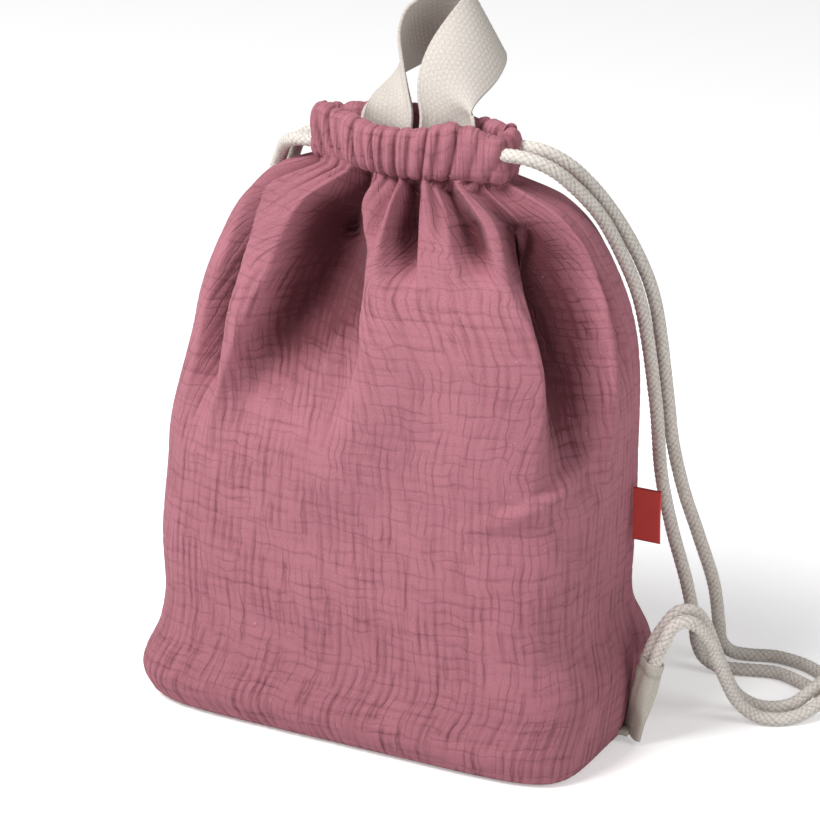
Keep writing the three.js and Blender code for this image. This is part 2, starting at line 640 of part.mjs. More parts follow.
const RIGHT_BACK_ROUTE = [
  [74, 13.5, 284.5], [81.5, 23, 273.5], [90, 36, 254.5], [99, 47, 230], [104.5, 53, 208.5], [109.5, 61, 155.5],
  [110.5, 65.5, 133], [114.5, 72, 105], [120, 79, 80], [125.5, 88.5, 50], [125.5, 97, 25], [125, 102.5, 12.5],
  [128.5, 107.5, 5.5], [136, 111.5, 3.5], [150, 115.8, 3.5], [166, 113.5, 3.5], [180, 106, 3.5], [204, 93, 3.5],
  [214, 91.5, 3.5], [222.7, 96.5, 3.5], [226, 106, 3.5], [221.8, 115.3, 3.5], [212, 119.5, 3.8], [203, 116, 5.6],
  [198, 108, 8.8], [197, 97, 11], [195.5, 82, 11], [191.5, 68, 7.2], [184.5, 56, 4], [175.5, 49, 3.5],
  [167, 46, 5], [159.5, 41.5, 12.5], [154.8, 33.5, 29], [152.3, 25, 45], [151, 19, 55], [148.6, 12.4, 63],
  [144.3, 6.4, 67], [139.9, 2.6, 64.5], [137.2, 1.1, 58],
];
const LEFT_FRONT_ROUTE = [
  [-68, -1.5, 280], [-77, 8, 271], [-88, 23, 252], [-96, 35, 229], [-101, 43, 203], [-105, 57, 140],
  [-104, 65, 105], [-102, 73, 70], [-100, 80.5, 38], [-98, 85, 22], [-94.5, 88.5, 10.5], [-87.5, 90.5, 4.8],
  [-78, 92, 3.5], [-47, 96.5, 3.5], [-28, 100, 3.5], [-12, 106.5, 3.5], [-3.5, 118, 3.5], [-6.5, 133, 3.5],
  [-20, 142, 3.5], [-40, 143.5, 3.5], [-62, 140.5, 3.5], [-104, 126.5, 3.5], [-121, 113, 3.6], [-131, 96, 7],
  [-135.5, 78, 18], [-137, 61, 34], [-137, 45, 51], [-136, 30, 65], [-133.5, 16.5, 73.5], [-131.3, 5, 73],
];
const LEFT_BACK_ROUTE = [
  [-68, 13, 279], [-77.5, 22.5, 268.5], [-88, 38, 248], [-95.5, 49.5, 225], [-100.5, 57, 200], [-105, 70, 139],
  [-105, 77.5, 106], [-104, 85, 73], [-102.3, 92.3, 41], [-100, 97, 22], [-96.5, 100.5, 10.5], [-89.5, 102, 4.8],
  [-80, 103, 3.5], [-48, 106.5, 3.5], [-30, 109, 3.5], [-17, 115, 3.5], [-13.5, 125, 3.5], [-21, 134, 3.5],
  [-36, 135.5, 3.5], [-56, 132.5, 3.5], [-97, 118, 3.5], [-112, 105, 3.8], [-121, 90, 8.5], [-125.5, 74, 20],
  [-127.5, 59, 34], [-128.3, 45, 48.5], [-129, 32.5, 60], [-129.6, 20.5, 67], [-130, 10.8, 66],
];

const rightExit = [CHANNEL_RIGHT_X, 1];
const leftExit = [CHANNEL_LEFT_X, -1];
addPiece(
  'right_cord_front_strand',
  strand(...rightExit, FRONT, RIGHT_LANE_Z, RIGHT_FRONT_ROUTE, rightTabPlace, -1),
  materials.cord,
);
addPiece(
  'right_cord_back_strand',
  strand(...rightExit, BACK, RIGHT_LANE_Z, RIGHT_BACK_ROUTE, rightTabPlace, 1),
  materials.cord,
);
addPiece(
  'left_cord_front_strand',
  strand(...leftExit, FRONT, LEFT_LANE_Z, LEFT_FRONT_ROUTE, leftTabPlace, -1),
  materials.cord,
);
addPiece(
  'left_cord_back_strand',
  strand(...leftExit, BACK, LEFT_LANE_Z, LEFT_BACK_ROUTE, leftTabPlace, 1),
  materials.cord,
);

// Webbing through stations of place and turn; the turn is the way its level width points, seen from above.
function webbing(stations) {
  const rings = stations.map(({ point, turn, along }) => {
    const across = new THREE.Vector3(Math.cos(turn), Math.sin(turn), 0);
    const out = new THREE.Vector3().crossVectors(along, across).normalize();
    return [[-1, -1], [1, -1], [1, 1], [-1, 1]].map(([u, v]) => point.clone()
      .addScaledVector(across, (u * WEBBING_WIDTH) / 2)
      .addScaledVector(out, (v * WEBBING_THICKNESS) / 2));
  });
  return barThrough(rings);
}

// The face that a sewn end lies against: the inner wall of the back channel, between the end's two edges.
function sewnFace(centreX) {
  const innerY = (x) => channelY(x, BACK) - CHANNEL_THICKNESS / 2;
  const left = innerY(centreX - WEBBING_WIDTH / 2);
  const right = innerY(centreX + WEBBING_WIDTH / 2);
  const nearest = Math.min((left + right) / 2, innerY(centreX));
  return { y: nearest - GAP - CORD_CLEARANCE - WEBBING_THICKNESS / 2, turn: Math.atan2(right - left, WEBBING_WIDTH) };
}

const UP = new THREE.Vector3(0, 0, 1);
const HANDLE_FOOT_Z = NECK_HEIGHT + GAP;
const HANDLE_BEND_Z = CHANNEL_TOP + HANDLE_FREE_HEIGHT;
const HANDLE_LEFT_X = MOUTH_SHIFT_X - (WEBBING_WIDTH + HANDLE_LEG_GAP) / 2;
const HANDLE_RIGHT_X = MOUTH_SHIFT_X + (WEBBING_WIDTH + HANDLE_LEG_GAP) / 2;

// A sewn end lies along the lip and squares up above it, where the loop bends.
function sewnEnd(centreX) {
  const face = sewnFace(centreX);
  const at = (z, turn) => ({ point: new THREE.Vector3(centreX, face.y, z), turn, along: UP });
  return webbing([at(HANDLE_FOOT_Z, face.turn), at(CHANNEL_TOP + GAP, face.turn), at(HANDLE_BEND_Z, 0)]);
}

addPiece('handle_left_end', sewnEnd(HANDLE_LEFT_X), materials.webbing);
addPiece('handle_right_end', sewnEnd(HANDLE_RIGHT_X), materials.webbing);

// A point of the loop where it lies on its cone, so far along the webbing from its top and across it.
const LOOP_FOOT = HANDLE_BEND_Z + HANDLE_HINGE_GAP;
const loopTip = new THREE.Vector3(LOOP_TIP_X, LOOP_TIP_Y, LOOP_FOOT + LOOP_TIP_RISE);

function loopBearing(along, across) {
  return LOOP_TURN - Math.atan2(along, LOOP_REACH + across) / Math.sin(LOOP_SLOPE);
}

function onLoopCone(along, across) {
  const reach = Math.hypot(along, LOOP_REACH + across);
  const bearing = loopBearing(along, across);
  const level = reach * Math.sin(LOOP_SLOPE);
  const offset = new THREE.Vector3(level * Math.cos(bearing), level * Math.sin(bearing), -reach * Math.cos(LOOP_SLOPE));
  return offset.add(loopTip);
}

// One row of points across the loop: on the cone at its top, easing to a level row over its end at its foot.
function loopRow(along) {
  const centre = onLoopCone(along, 0);
  const bearing = loopBearing(along, 0);
  const unrolled = Math.atan2(along, LOOP_REACH);
  const down = centre.clone().sub(loopTip).normalize();
  const around = new THREE.Vector3(-Math.sin(bearing), Math.cos(bearing), 0);
  const across = down.clone().multiplyScalar(Math.cos(unrolled)).addScaledVector(around, Math.sin(unrolled));
  const onward = down.clone().multiplyScalar(Math.sin(unrolled)).addScaledVector(around, -Math.cos(unrolled));
  const out = new THREE.Vector3().crossVectors(onward, across);
  const coneTurn = new THREE.Quaternion().setFromRotationMatrix(new THREE.Matrix4().makeBasis(across, out, onward));

  const side = along < 0 ? -1 : 1;
  const endX = side < 0 ? HANDLE_LEFT_X : HANDLE_RIGHT_X;
  const endBasis = new THREE.Matrix4().makeBasis(
    new THREE.Vector3(side, 0, 0), new THREE.Vector3(0, -1, 0), new THREE.Vector3(0, 0, -side));
  const endTurn = new THREE.Quaternion().setFromRotationMatrix(endBasis);
  const twist = side < 0 ? LEFT_LEG_TWIST : RIGHT_LEG_TWIST;
  const settled = THREE.MathUtils.smoothstep(LOOP_FOOT + twist - centre.z, 0, twist);
  const rise = THREE.MathUtils.smoothstep(centre.z - LOOP_FOOT, 0, LOOP_BULGE_RISE);
  const bulge = LOOP_BULGE * rise * THREE.MathUtils.smoothstep(-along, 0, LOOP_BULGE_LENGTH);
  const sideways = new THREE.Vector3(Math.cos(LOOP_BULGE_TURN), Math.sin(LOOP_BULGE_TURN), 0);
  const middle = centre.clone().addScaledVector(sideways, bulge);
  middle.lerp(new THREE.Vector3(endX, sewnFace(endX).y, centre.z), settled);
  const turn = coneTurn.clone().slerp(endTurn, settled);
  const points = [];
  for (let column = 0; column <= LOOP_COLUMNS; column += 1) {
    const width = WEBBING_WIDTH * (column / LOOP_COLUMNS - 0.5);
    const offset = onLoopCone(along, width).sub(centre).applyQuaternion(coneTurn.clone().invert());
    offset.lerp(new THREE.Vector3(width, 0, 0), settled);
    points.push(offset.applyQuaternion(turn).add(middle));
  }
  return points;
}

function handleLoop() {
  const reach = LOOP_TIP_RISE / Math.cos(LOOP_SLOPE);
  const half = Math.sqrt(reach ** 2 - LOOP_REACH ** 2);
  const rows = [];
  for (let row = 0; row <= LOOP_ROWS; row += 1) rows.push(loopRow(half * ((2 * row) / LOOP_ROWS - 1)));
  const rings = rows.map((points, row) => {
    const before = rows[Math.max(row - 1, 0)];
    const after = rows[Math.min(row + 1, LOOP_ROWS)];
    const normals = points.map((point, column) => {
      if (row === 0 || row === LOOP_ROWS) return new THREE.Vector3(0, -1, 0);
      const left = points[Math.max(column - 1, 0)];
      const right = points[Math.min(column + 1, LOOP_COLUMNS)];
      const onward = after[column].clone().sub(before[column]);
      return onward.cross(right.clone().sub(left)).normalize();
    });
    const face = (offset) => points.map((p, column) => p.clone().addScaledVector(normals[column], offset));
    return [...face(-WEBBING_THICKNESS / 2), ...face(WEBBING_THICKNESS / 2).reverse()];
  });
  return barThrough(rings);
}

addPiece('handle_loop', handleLoop(), materials.webbing);

// Label: a folded strip standing out of the right side seam.
const labelMiddle = LABEL_FOOT_HEIGHT + LABEL_HEIGHT / 2;
const labelSeam = Math.max(seamX(LABEL_FOOT_HEIGHT, 1), seamX(LABEL_FOOT_HEIGHT + LABEL_HEIGHT, 1));
const labelGeometry = new THREE.BoxGeometry(LABEL_WIDTH, LABEL_THICKNESS, LABEL_HEIGHT);
const label = addPiece('side_label', labelGeometry, materials.label);
label.position.set(labelSeam + GAP + LABEL_WIDTH / 2, LABEL_SEAM_Y, labelMiddle);

export default backpack;
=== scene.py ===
import bpy
import mathutils
import numpy as np
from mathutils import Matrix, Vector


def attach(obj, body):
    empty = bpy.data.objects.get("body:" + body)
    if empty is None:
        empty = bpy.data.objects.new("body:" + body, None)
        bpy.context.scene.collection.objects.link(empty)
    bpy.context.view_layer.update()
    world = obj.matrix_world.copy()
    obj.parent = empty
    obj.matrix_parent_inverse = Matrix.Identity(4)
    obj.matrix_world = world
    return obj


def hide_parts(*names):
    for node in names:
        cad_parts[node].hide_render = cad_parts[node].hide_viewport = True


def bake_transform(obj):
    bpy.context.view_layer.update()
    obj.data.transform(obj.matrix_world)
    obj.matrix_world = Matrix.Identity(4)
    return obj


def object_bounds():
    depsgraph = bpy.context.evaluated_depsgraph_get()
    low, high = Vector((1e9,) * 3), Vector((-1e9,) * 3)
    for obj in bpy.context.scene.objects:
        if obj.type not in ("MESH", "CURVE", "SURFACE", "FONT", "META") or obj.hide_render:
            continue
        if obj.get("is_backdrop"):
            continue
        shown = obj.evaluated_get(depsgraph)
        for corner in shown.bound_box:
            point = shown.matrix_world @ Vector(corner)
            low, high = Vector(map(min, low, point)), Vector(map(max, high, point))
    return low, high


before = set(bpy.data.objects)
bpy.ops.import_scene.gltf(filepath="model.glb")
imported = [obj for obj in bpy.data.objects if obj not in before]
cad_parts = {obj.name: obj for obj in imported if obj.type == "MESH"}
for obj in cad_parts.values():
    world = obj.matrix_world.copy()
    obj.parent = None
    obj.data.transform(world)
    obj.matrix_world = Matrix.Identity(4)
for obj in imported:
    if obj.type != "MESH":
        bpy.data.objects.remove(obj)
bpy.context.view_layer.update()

# Base panel: the flat bottom that the filled bag stands on, cut from the same crinkled double gauze
# as the rest of the bag and sewn all round to the front and the back.
MM = 0.001
MOUTH_X = 3.0

# The bag's outer sizes in millimetres: height, width, depth, squareness, shift to the right, shift back,
# and how far back the right side seam lies.
body_levels = np.array([
    (0, 230, 126, 7, -1, -6, 3),
    (16, 242, 138, 5.5, -4, -6, 6),
    (40, 232, 135, 5, 0, -6, 16),
    (62, 221, 132, 4.6, -3.5, -6, 25),
    (88, 225, 132, 4.2, -5, -4, 25),
    (130, 227, 133, 3.5, -4.5, 0, 25),
    (202, 211, 127, 3, MOUTH_X, 0, 18),
    (246, 182, 105, 2.6, MOUTH_X, 0, 7),
    (264, 156, 78, 2.4, MOUTH_X, 0, 3),
    (276, 104, 42, 2.2, MOUTH_X, 0, 0),
], float)


def level_at(heights, column):
    """One column of the bag's sizes at some heights, on a curve that never overshoots."""
    height, value = body_levels[:, 0], body_levels[:, column]
    slope = np.diff(value) / np.diff(height)
    before, after = slope[:-1], slope[1:]
    alike = before * after > 0
    middle = np.where(alike, 2 * before * after / np.where(alike, before + after, 1), 0)
    tangent = np.concatenate([slope[:1], middle, slope[-1:]])
    k = np.clip(np.searchsorted(height, heights) - 1, 0, len(height) - 2)
    span = height[k + 1] - height[k]
    t = np.clip((heights - height[k]) / span, 0, 1)
    low = value[k] * (1 + 2 * t) * (1 - t) ** 2 + span * tangent[k] * t * (1 - t) ** 2
    high = value[k + 1] * t * t * (3 - 2 * t) + span * tangent[k + 1] * t * t * (t - 1)
    return low + high


def run_along(points):
    """How far along a path each of its points lies."""
    return np.concatenate([[0], np.cumsum(np.linalg.norm(np.diff(points, axis=0), axis=1))])


def half_outline(height, side, count, inset=0.0):
    """Evenly spaced points along the front or back of the bag at a height, from left seam to right seam."""
    wide, deep, square, x, y, seam = (float(level_at(np.array(height), c)) for c in range(1, 7))
    past = np.arcsin(((seam - y) / (deep / 2)) ** (square / 2))
    angle = np.pi - (np.pi - side * past) * np.linspace(0, 1, 1601)
    c, s = np.cos(angle), np.sin(angle)
    across = x + np.sign(c) * (wide / 2 - inset) * np.abs(c) ** (2 / square)
    depth = y + side * np.sign(s) * (deep / 2 - inset) * np.abs(s) ** (2 / square)
    run = run_along(np.stack([across, depth], 1))
    at = np.linspace(0, run[-1], count)
    points = [np.interp(at, run, across), np.interp(at, run, depth), np.full(count, float(height))]
    return np.stack(points, 1)


def soft_noise(x, y, seed):
    """Smooth values from 0 to 1 on a unit grid of fixed random numbers."""
    grid = np.random.RandomState(seed).rand(128, 128)
    i, j = np.floor(x).astype(int), np.floor(y).astype(int)
    u, v = x - i, y - j
    u, v = u * u * u * (u * (6 * u - 15) + 10), v * v * v * (v * (6 * v - 15) + 10)
    near = grid[i % 128, j % 128] * (1 - u) + grid[(i + 1) % 128, j % 128] * u
    far = grid[i % 128, (j + 1) % 128] * (1 - u) + grid[(i + 1) % 128, (j + 1) % 128] * u
    return near * (1 - v) + far * v


def ease(t):
    """A smooth step from 0 to 1."""
    t = np.clip(t, 0, 1)
    return t * t * (3 - 2 * t)


UPRIGHT_PITCH = 4.8
LEVEL_PITCH = 7.0
FURROW_HALF = 0.95


def crinkle(across, along, seed):
    """Depth of the gauze's puckers at millimetres on the flat cloth, 0 on a crest and 1 in a furrow.

    Broken upright furrows lie about 5 mm apart, crossed by fewer and fainter level ones.
    """
    drift = 1.8 * (soft_noise(across / 37, along / 61, seed) - 0.5)
    drift = drift + 0.9 * (soft_noise(across / 9, along / 14, seed + 1) - 0.5)
    lift = 1.8 * (soft_noise(across / 47, along / 31, seed + 2) - 0.5)
    lift = lift + 1.2 * (soft_noise(across / 9, along / 11, seed + 3) - 0.5)
    total = np.zeros(np.shape(across))
    upright = ((across + drift) / UPRIGHT_PITCH, along, UPRIGHT_PITCH, 15, 1.0, 0)
    level = ((along + lift) / LEVEL_PITCH, across, LEVEL_PITCH, 12, 0.5, 40)
    for place_at, other, pitch, reach, weight, key in (upright, level):
        k = np.floor(place_at)
        for step in (-1, 0, 1):
            line = k + step
            wander = 0.5 + 0.45 * (soft_noise(line * 7.31, other / 29, seed + 4 + key) - 0.5)
            strength = np.clip(2.3 * soft_noise(line * 5.77, other / reach, seed + 5 + key) - 0.65, 0.04, 1)
            away = (place_at - line - wander) * pitch
            total += weight * strength * np.exp(-(away / FURROW_HALF) ** 2)
    return np.clip(total, 0, 1.2)


def grid_faces(rows, columns, start=0, turned=False):
    """Quads of a grid of points stored row by row."""
    at = start + np.arange(rows * columns).reshape(rows, columns)
    quads = np.stack([at[:-1, :-1], at[:-1, 1:], at[1:, 1:], at[1:, :-1]], -1).reshape(-1, 4)
    return quads[:, ::-1] if turned else quads


def ring_faces(rows, count):
    """Point numbers of closed rings stored one after another, and the quads between them."""
    at = np.arange(rows * count).reshape(rows, count)[:, np.r_[0:count, 0]]
    quads = np.stack([at[:-1, :-1], at[:-1, 1:], at[1:, 1:], at[1:, :-1]], -1).reshape(-1, 4)
    return at, quads


def tube_faces(rows, count):
    """Faces of a closed tube: the quads between its rings and a cap at each end."""
    at, quads = ring_faces(rows, count)
    return [quads, at[0, :-1][None, ::-1], at[-1, :-1][None]]


def grid_normals(grid):
    """Unit normals of a grid of points, square to its rows and columns."""
    normal = np.cross(np.gradient(grid, axis=1), np.gradient(grid, axis=0))
    return normal / np.maximum(np.linalg.norm(normal, axis=2, keepdims=True), 1e-9)


def new_piece(name, points, faces, finish, uv, furrow, crisp=False):
    """A smooth mesh piece from points in millimetres and arrays of faces, with its cloth map and a furrow
    attribute that mostly holds painted shade.
    """
    mesh = bpy.data.meshes.new(name)
    corners = np.concatenate([f.ravel() for f in faces]).astype(np.int32)
    sizes = np.concatenate([np.full(len(f), f.shape[1]) for f in faces])
    starts = np.concatenate([[0], np.cumsum(sizes)[:-1]]).astype(np.int32)
    mesh.vertices.add(len(points))
    mesh.vertices.foreach_set("co", (np.asarray(points) * MM).astype(np.float32).ravel())
    mesh.loops.add(len(corners))
    mesh.polygons.add(len(sizes))
    mesh.polygons.foreach_set("loop_start", starts)
    mesh.polygons.foreach_set("vertices", corners)
    mesh.update(calc_edges=True)
    layer = mesh.uv_layers.new(name="cloth")
    layer.data.foreach_set("uv", (np.asarray(uv) * MM)[corners].astype(np.float32).ravel())
    depth = mesh.attributes.new("furrow", "FLOAT", "POINT")
    depth.data.foreach_set("value", np.asarray(furrow).astype(np.float32).ravel())
    mesh.shade_smooth()
    if crisp:
        mesh.set_sharp_from_angle(angle=1.1)
    mesh.materials.append(finish)
    piece = bpy.data.objects.new(name, mesh)
    bpy.context.collection.objects.link(piece)
    return piece


def place(tree, kind, settings, inputs):
    """A node with its settings, its inputs linked from sockets or set to values."""
    node = tree.nodes.new(kind)
    for key, value in settings.items():
        setattr(node, key, value)
    for key, value in inputs.items():
        if isinstance(value, bpy.types.NodeSocket):
            tree.links.new(value, node.inputs[key])
        else:
            node.inputs[key].default_value = value
    return node


def math(tree, operation, first, second=0.5):
    """The result of a maths node."""
    return place(tree, "ShaderNodeMath", {"operation": operation}, {0: first, 1: second}).outputs[0]


# Woven threads: over-and-under bumps of a plain weave on a cloth map in metres, uneven in tone.
woven = bpy.data.node_groups.new("woven_threads", "ShaderNodeTree")
for socket, kind in (("Vector", "NodeSocketVector"), ("Threads per metre", "NodeSocketFloat")):
    woven.interface.new_socket(socket, in_out="INPUT", socket_type=kind)
for socket in ("Height", "Tone"):
    woven.interface.new_socket(socket, in_out="OUTPUT", socket_type="NodeSocketFloat")
given, result = woven.nodes.new("NodeGroupInput"), woven.nodes.new("NodeGroupOutput")
turns = math(woven, "MULTIPLY", given.outputs["Threads per metre"], np.pi)
spread = place(woven, "ShaderNodeVectorMath", {"operation": "SCALE"},
               {0: given.outputs["Vector"], "Scale": turns})
axes = place(woven, "ShaderNodeSeparateXYZ", {}, {0: spread.outputs[0]})
lattice = math(woven, "MULTIPLY", math(woven, "SINE", axes.outputs[0]), math(woven, "SINE", axes.outputs[1]))
woven.links.new(math(woven, "MULTIPLY_ADD", lattice, 0.5), result.inputs["Height"])
slub = place(woven, "ShaderNodeTexNoise", {}, {"Vector": spread.outputs[0], "Scale": 0.22, "Detail": 2.0})
woven.links.new(slub.outputs[0], result.inputs["Tone"])

# Gauze puckers: broken, slightly wavering creases, upright ones and level ones, on a cloth map in metres.
puckers = bpy.data.node_groups.new("gauze_puckers", "ShaderNodeTree")
puckers.interface.new_socket("Vector", in_out="INPUT", socket_type="NodeSocketVector")
puckers.interface.new_socket("Depth", in_out="OUTPUT", socket_type="NodeSocketFloat")
given, result = puckers.nodes.new("NodeGroupInput"), puckers.nodes.new("NodeGroupOutput")
split = place(puckers, "ShaderNodeSeparateXYZ", {}, {"Vector": given.outputs[0]})
warp = place(puckers, "ShaderNodeTexNoise", {}, {"Vector": given.outputs[0], "Scale": 55.0, "Detail": 2.0})
shift = math(puckers, "MULTIPLY", math(puckers, "SUBTRACT", warp.outputs[0], 0.5), 2.0)
creases = []
# Creases across each axis of the cloth map: how many to a metre, and how the gaps in them are drawn out.
for axis, lines, stretch in ((0, 250.0, (230.0, 48.0, 1.0)), (1, 190.0, (42.0, 180.0, 1.0))):
    count = math(puckers, "ADD", math(puckers, "MULTIPLY", split.outputs[axis], lines), shift)
    away = math(puckers, "ABSOLUTE", math(puckers, "SUBTRACT", math(puckers, "FRACT", count, 0.0), 0.5))
    line = place(puckers, "ShaderNodeMapRange", {"interpolation_type": "SMOOTHSTEP"},
                 {"Value": away, "From Min": 0.0, "From Max": 0.2, "To Min": 1.0, "To Max": 0.0})
    spread = place(puckers, "ShaderNodeVectorMath", {"operation": "MULTIPLY"},
                   {0: given.outputs[0], 1: stretch})
    gaps = place(puckers, "ShaderNodeTexNoise", {},
                 {"Vector": spread.outputs[0], "Scale": 1.0, "Detail": 1.0})
    kept = place(puckers, "ShaderNodeMapRange", {"interpolation_type": "SMOOTHSTEP"},
                 {"Value": gaps.outputs[0], "From Min": 0.36, "From Max": 0.66,
                  "To Min": 0.05, "To Max": 1.0})
    creases.append(math(puckers, "MULTIPLY", line.outputs[0], kept.outputs[0]))
both = math(puckers, "ADD", creases[0], math(puckers, "MULTIPLY", creases[1], 0.7))
both.node.use_clamp = True
puckers.links.new(both, result.inputs[0])


def cloth_finish(name, crest, deep, fleck, threads, rough, sheen, bump, fleck_from, pucker=0.0):
    """A matt cotton: a crest colour, a darker one for painted shade and uneven tone, pale flecks in the yarn,
    and its weave as a fine bump.
    """
    finish = bpy.data.materials.new(name)
    finish.use_nodes = True
    tree = finish.node_tree
    shader = tree.nodes["Principled BSDF"]
    cloth_map = tree.nodes.new("ShaderNodeUVMap")
    cloth_map.uv_map = "cloth"
    weave = tree.nodes.new("ShaderNodeGroup")
    weave.node_tree = woven
    weave.inputs["Threads per metre"].default_value = threads
    tree.links.new(cloth_map.outputs[0], weave.inputs["Vector"])
    # The furrow attribute holds painted shade in furrows, folds and grooves; noise patches add uneven tone.
    furrow = place(tree, "ShaderNodeAttribute", {"attribute_name": "furrow"}, {})
    patches = place(tree, "ShaderNodeTexNoise", {},
                    {"Vector": cloth_map.outputs[0], "Scale": 38.0, "Detail": 3.0})
    shade = math(tree, "MULTIPLY_ADD", patches.outputs[0], 0.3)
    shade.node.inputs[2].default_value = -0.15
    depth = math(tree, "ADD", furrow.outputs["Fac"], shade)
    depth.node.use_clamp = True
    surface = weave.outputs["Height"]
    if pucker:
        gauze = tree.nodes.new("ShaderNodeGroup")
        gauze.node_tree = puckers
        tree.links.new(cloth_map.outputs[0], gauze.inputs[0])
        # The puckers darken the colour as well as the bump: painted shade in their creases.
        depth = math(tree, "ADD", depth, math(tree, "MULTIPLY", gauze.outputs[0], pucker))
        depth.node.use_clamp = True
        surface = math(tree, "SUBTRACT", math(tree, "MULTIPLY", surface, 0.25), gauze.outputs[0])
    tinted = place(tree, "ShaderNodeMix", {"data_type": "RGBA"}, {0: depth, 6: crest, 7: deep})
    tone = place(tree, "ShaderNodeValToRGB", {}, {"Fac": weave.outputs["Tone"]})
    tone.color_ramp.elements[0].position = 0.3
    tone.color_ramp.elements[0].color = (0.86, 0.86, 0.86, 1)
    tone.color_ramp.elements[1].position = 0.7
    tone.color_ramp.elements[1].color = (1.1, 1.1, 1.1, 1)
    toned = place(tree, "ShaderNodeMix", {"data_type": "RGBA", "blend_type": "MULTIPLY"},
                  {0: 1.0, 6: tinted.outputs[2], 7: tone.outputs[0]})
    specks = place(tree, "ShaderNodeTexNoise", {},
                   {"Vector": cloth_map.outputs[0], "Scale": 430.0, "Detail": 1.0})
    caught = place(tree, "ShaderNodeMapRange", {},
                   {"Value": specks.outputs[0], "From Min": fleck_from, "From Max": fleck_from + 0.08,
                    "To Max": 0.4})
    flecked = place(tree, "ShaderNodeMix", {"data_type": "RGBA"},
                    {0: caught.outputs[0], 6: toned.outputs[2], 7: fleck})
    tree.links.new(flecked.outputs[2], shader.inputs["Base Color"])
    roughness_and_twill_shade = math(tree, "MULTIPLY_ADD", weave.outputs["Height"], -0.06)
    roughness_and_twill_shade.node.inputs[2].default_value = rough
    tree.links.new(roughness_and_twill_shade, shader.inputs["Roughness"])
    relief = place(tree, "ShaderNodeBump", {}, {"Height": surface, "Distance": bump, "Strength": 0.5})
    tree.links.new(relief.outputs[0], shader.inputs["Normal"])
    for key, value in (("Sheen Weight", sheen), ("Sheen Roughness", 0.5), ("Sheen Tint", fleck),
                       ("Specular IOR Level", 0.2)):
        shader.inputs[key].default_value = value
    return finish


# The dark rose is painted shade in folds, pleats and furrows, and also random patches of tone.
rose_cotton = cloth_finish("rose_cotton", (0.45, 0.174, 0.217, 1), (0.13, 0.035, 0.045, 1),
                           (0.64, 0.4, 0.45, 1), threads=1900.0, rough=0.93, sheen=0.15, bump=0.00045,
                           fleck_from=0.735, pucker=0.3)

BASE_ROWS = 60
ring = np.concatenate([half_outline(1.0, -1, 180, 5)[:-1], half_outline(1.0, 1, 180, 5)[::-1][:-1]])
middle = ring.mean(0)
share = np.linspace(0.02, 1, BASE_ROWS)[:, None, None]
disc = middle + (ring - middle)[None] * share
furrow = crinkle(disc[..., 0] + 200, disc[..., 1] + 200, 71)
under, over = disc.copy(), disc.copy()
under[..., 2] = 0.9 + 0.35 * furrow - 0.5 * (1 - share[..., 0] ** 8)
over[..., 2] = 2.1 - 0.35 * furrow
points = np.concatenate([under.reshape(-1, 3), over.reshape(-1, 3)])
at, quads = ring_faces(BASE_ROWS, len(ring))
shift = BASE_ROWS * len(ring)
rim = np.stack([at[-1, :-1], at[-1, 1:], at[-1, 1:] + shift, at[-1, :-1] + shift], -1)
middle_cap = at[0, :-1][None]
faces = [quads[:, ::-1], quads + shift, rim, middle_cap, middle_cap[:, ::-1] + shift]
# The base's colour darkens in the crinkle's furrows: painted shade.
base = new_piece("base_cotton", points, faces, rose_cotton, uv=points[:, :2],
                 furrow=np.tile(furrow.ravel(), 2))
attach(base, "bag")
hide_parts("base_panel")

# Front and back: two gathered panels of double gauze, sewn together down both sides. The drawstring
# draws their top edge together, so deep folds fall from the mouth and run out in the filled lower half.
PANEL_ROWS = 266
PANEL_COLUMNS = 337
INNER_STEP = 5
CLOTH_THICK = 1.5
CUT_WIDTH = 355.0
NECK_Z = 276.0
LIP_TOP_Z = 284.5
CHANNEL_HALF = 50.0
CHANNEL_STRAIGHT = 45.0


def channel_y(x, side):
    """Middle of a drawstring channel, which bows outwards between its two ends."""
    bow = 0.5 + 0.5 * np.cos(np.pi * (x - MOUTH_X) / CHANNEL_HALF)
    return side * (7.6 + 10.4 * bow)


# Where the small pleats of each lip are drawn in along the mouth, and how deeply.
pleat_lines = {
    -1: np.array([-66, -56, -47, -41, -36, -29.5, -25, -16.5, -11, -6.5, -2, 3.5, 9, 15.5, 20, 27, 36, 46, 57,
                  66]),
    1: np.array([-66, -54, -46, -38, -33, -24, -17.5, -8, 2, 9.5, 15, 24, 30, 38, 43, 51, 60, 66]),
}
pleat_depths = {
    -1: np.array([.5, .8, .6, .9, .6, 1, .5, .95, .6, .9, .7, 1, .6, .95, .55, .9, .5, .6, .5, .5]),
    1: np.array([.5, .7, .9, .6, 1, .7, .9, .6, 1, .7, .9, .6, .9, .7, 1, .6, .5, .5]),
}
CHANNEL_Z = 286.95
LIP_THICK = 6.8
LIP_HIGH = 11.2
LIP_PLEAT = 3.0


def pleat_valley(x, side):
    """How far the lip is drawn in at places along the mouth: 1 at the bottom of the sharpest pleat."""
    phase = np.interp(x, pleat_lines[side], np.arange(len(pleat_lines[side])))
    depth = np.interp(phase, np.arange(len(pleat_depths[side])), pleat_depths[side])
    return depth * (1 - np.abs(np.sin(np.pi * phase))) ** 1.3


def lip_reach(x, z, side):
    """How far the outer face of a lip stands out from the middle of its channel at a height."""
    v = np.clip((z - CHANNEL_Z) / LIP_HIGH, -0.97, 0.97)
    lean = 9.0 * (x - MOUTH_X) / CHANNEL_HALF * (v + 1) / 2
    return LIP_THICK * (1 - np.abs(v) ** 2.6) ** (1 / 2.6) - LIP_PLEAT * pleat_valley(x - lean, side)


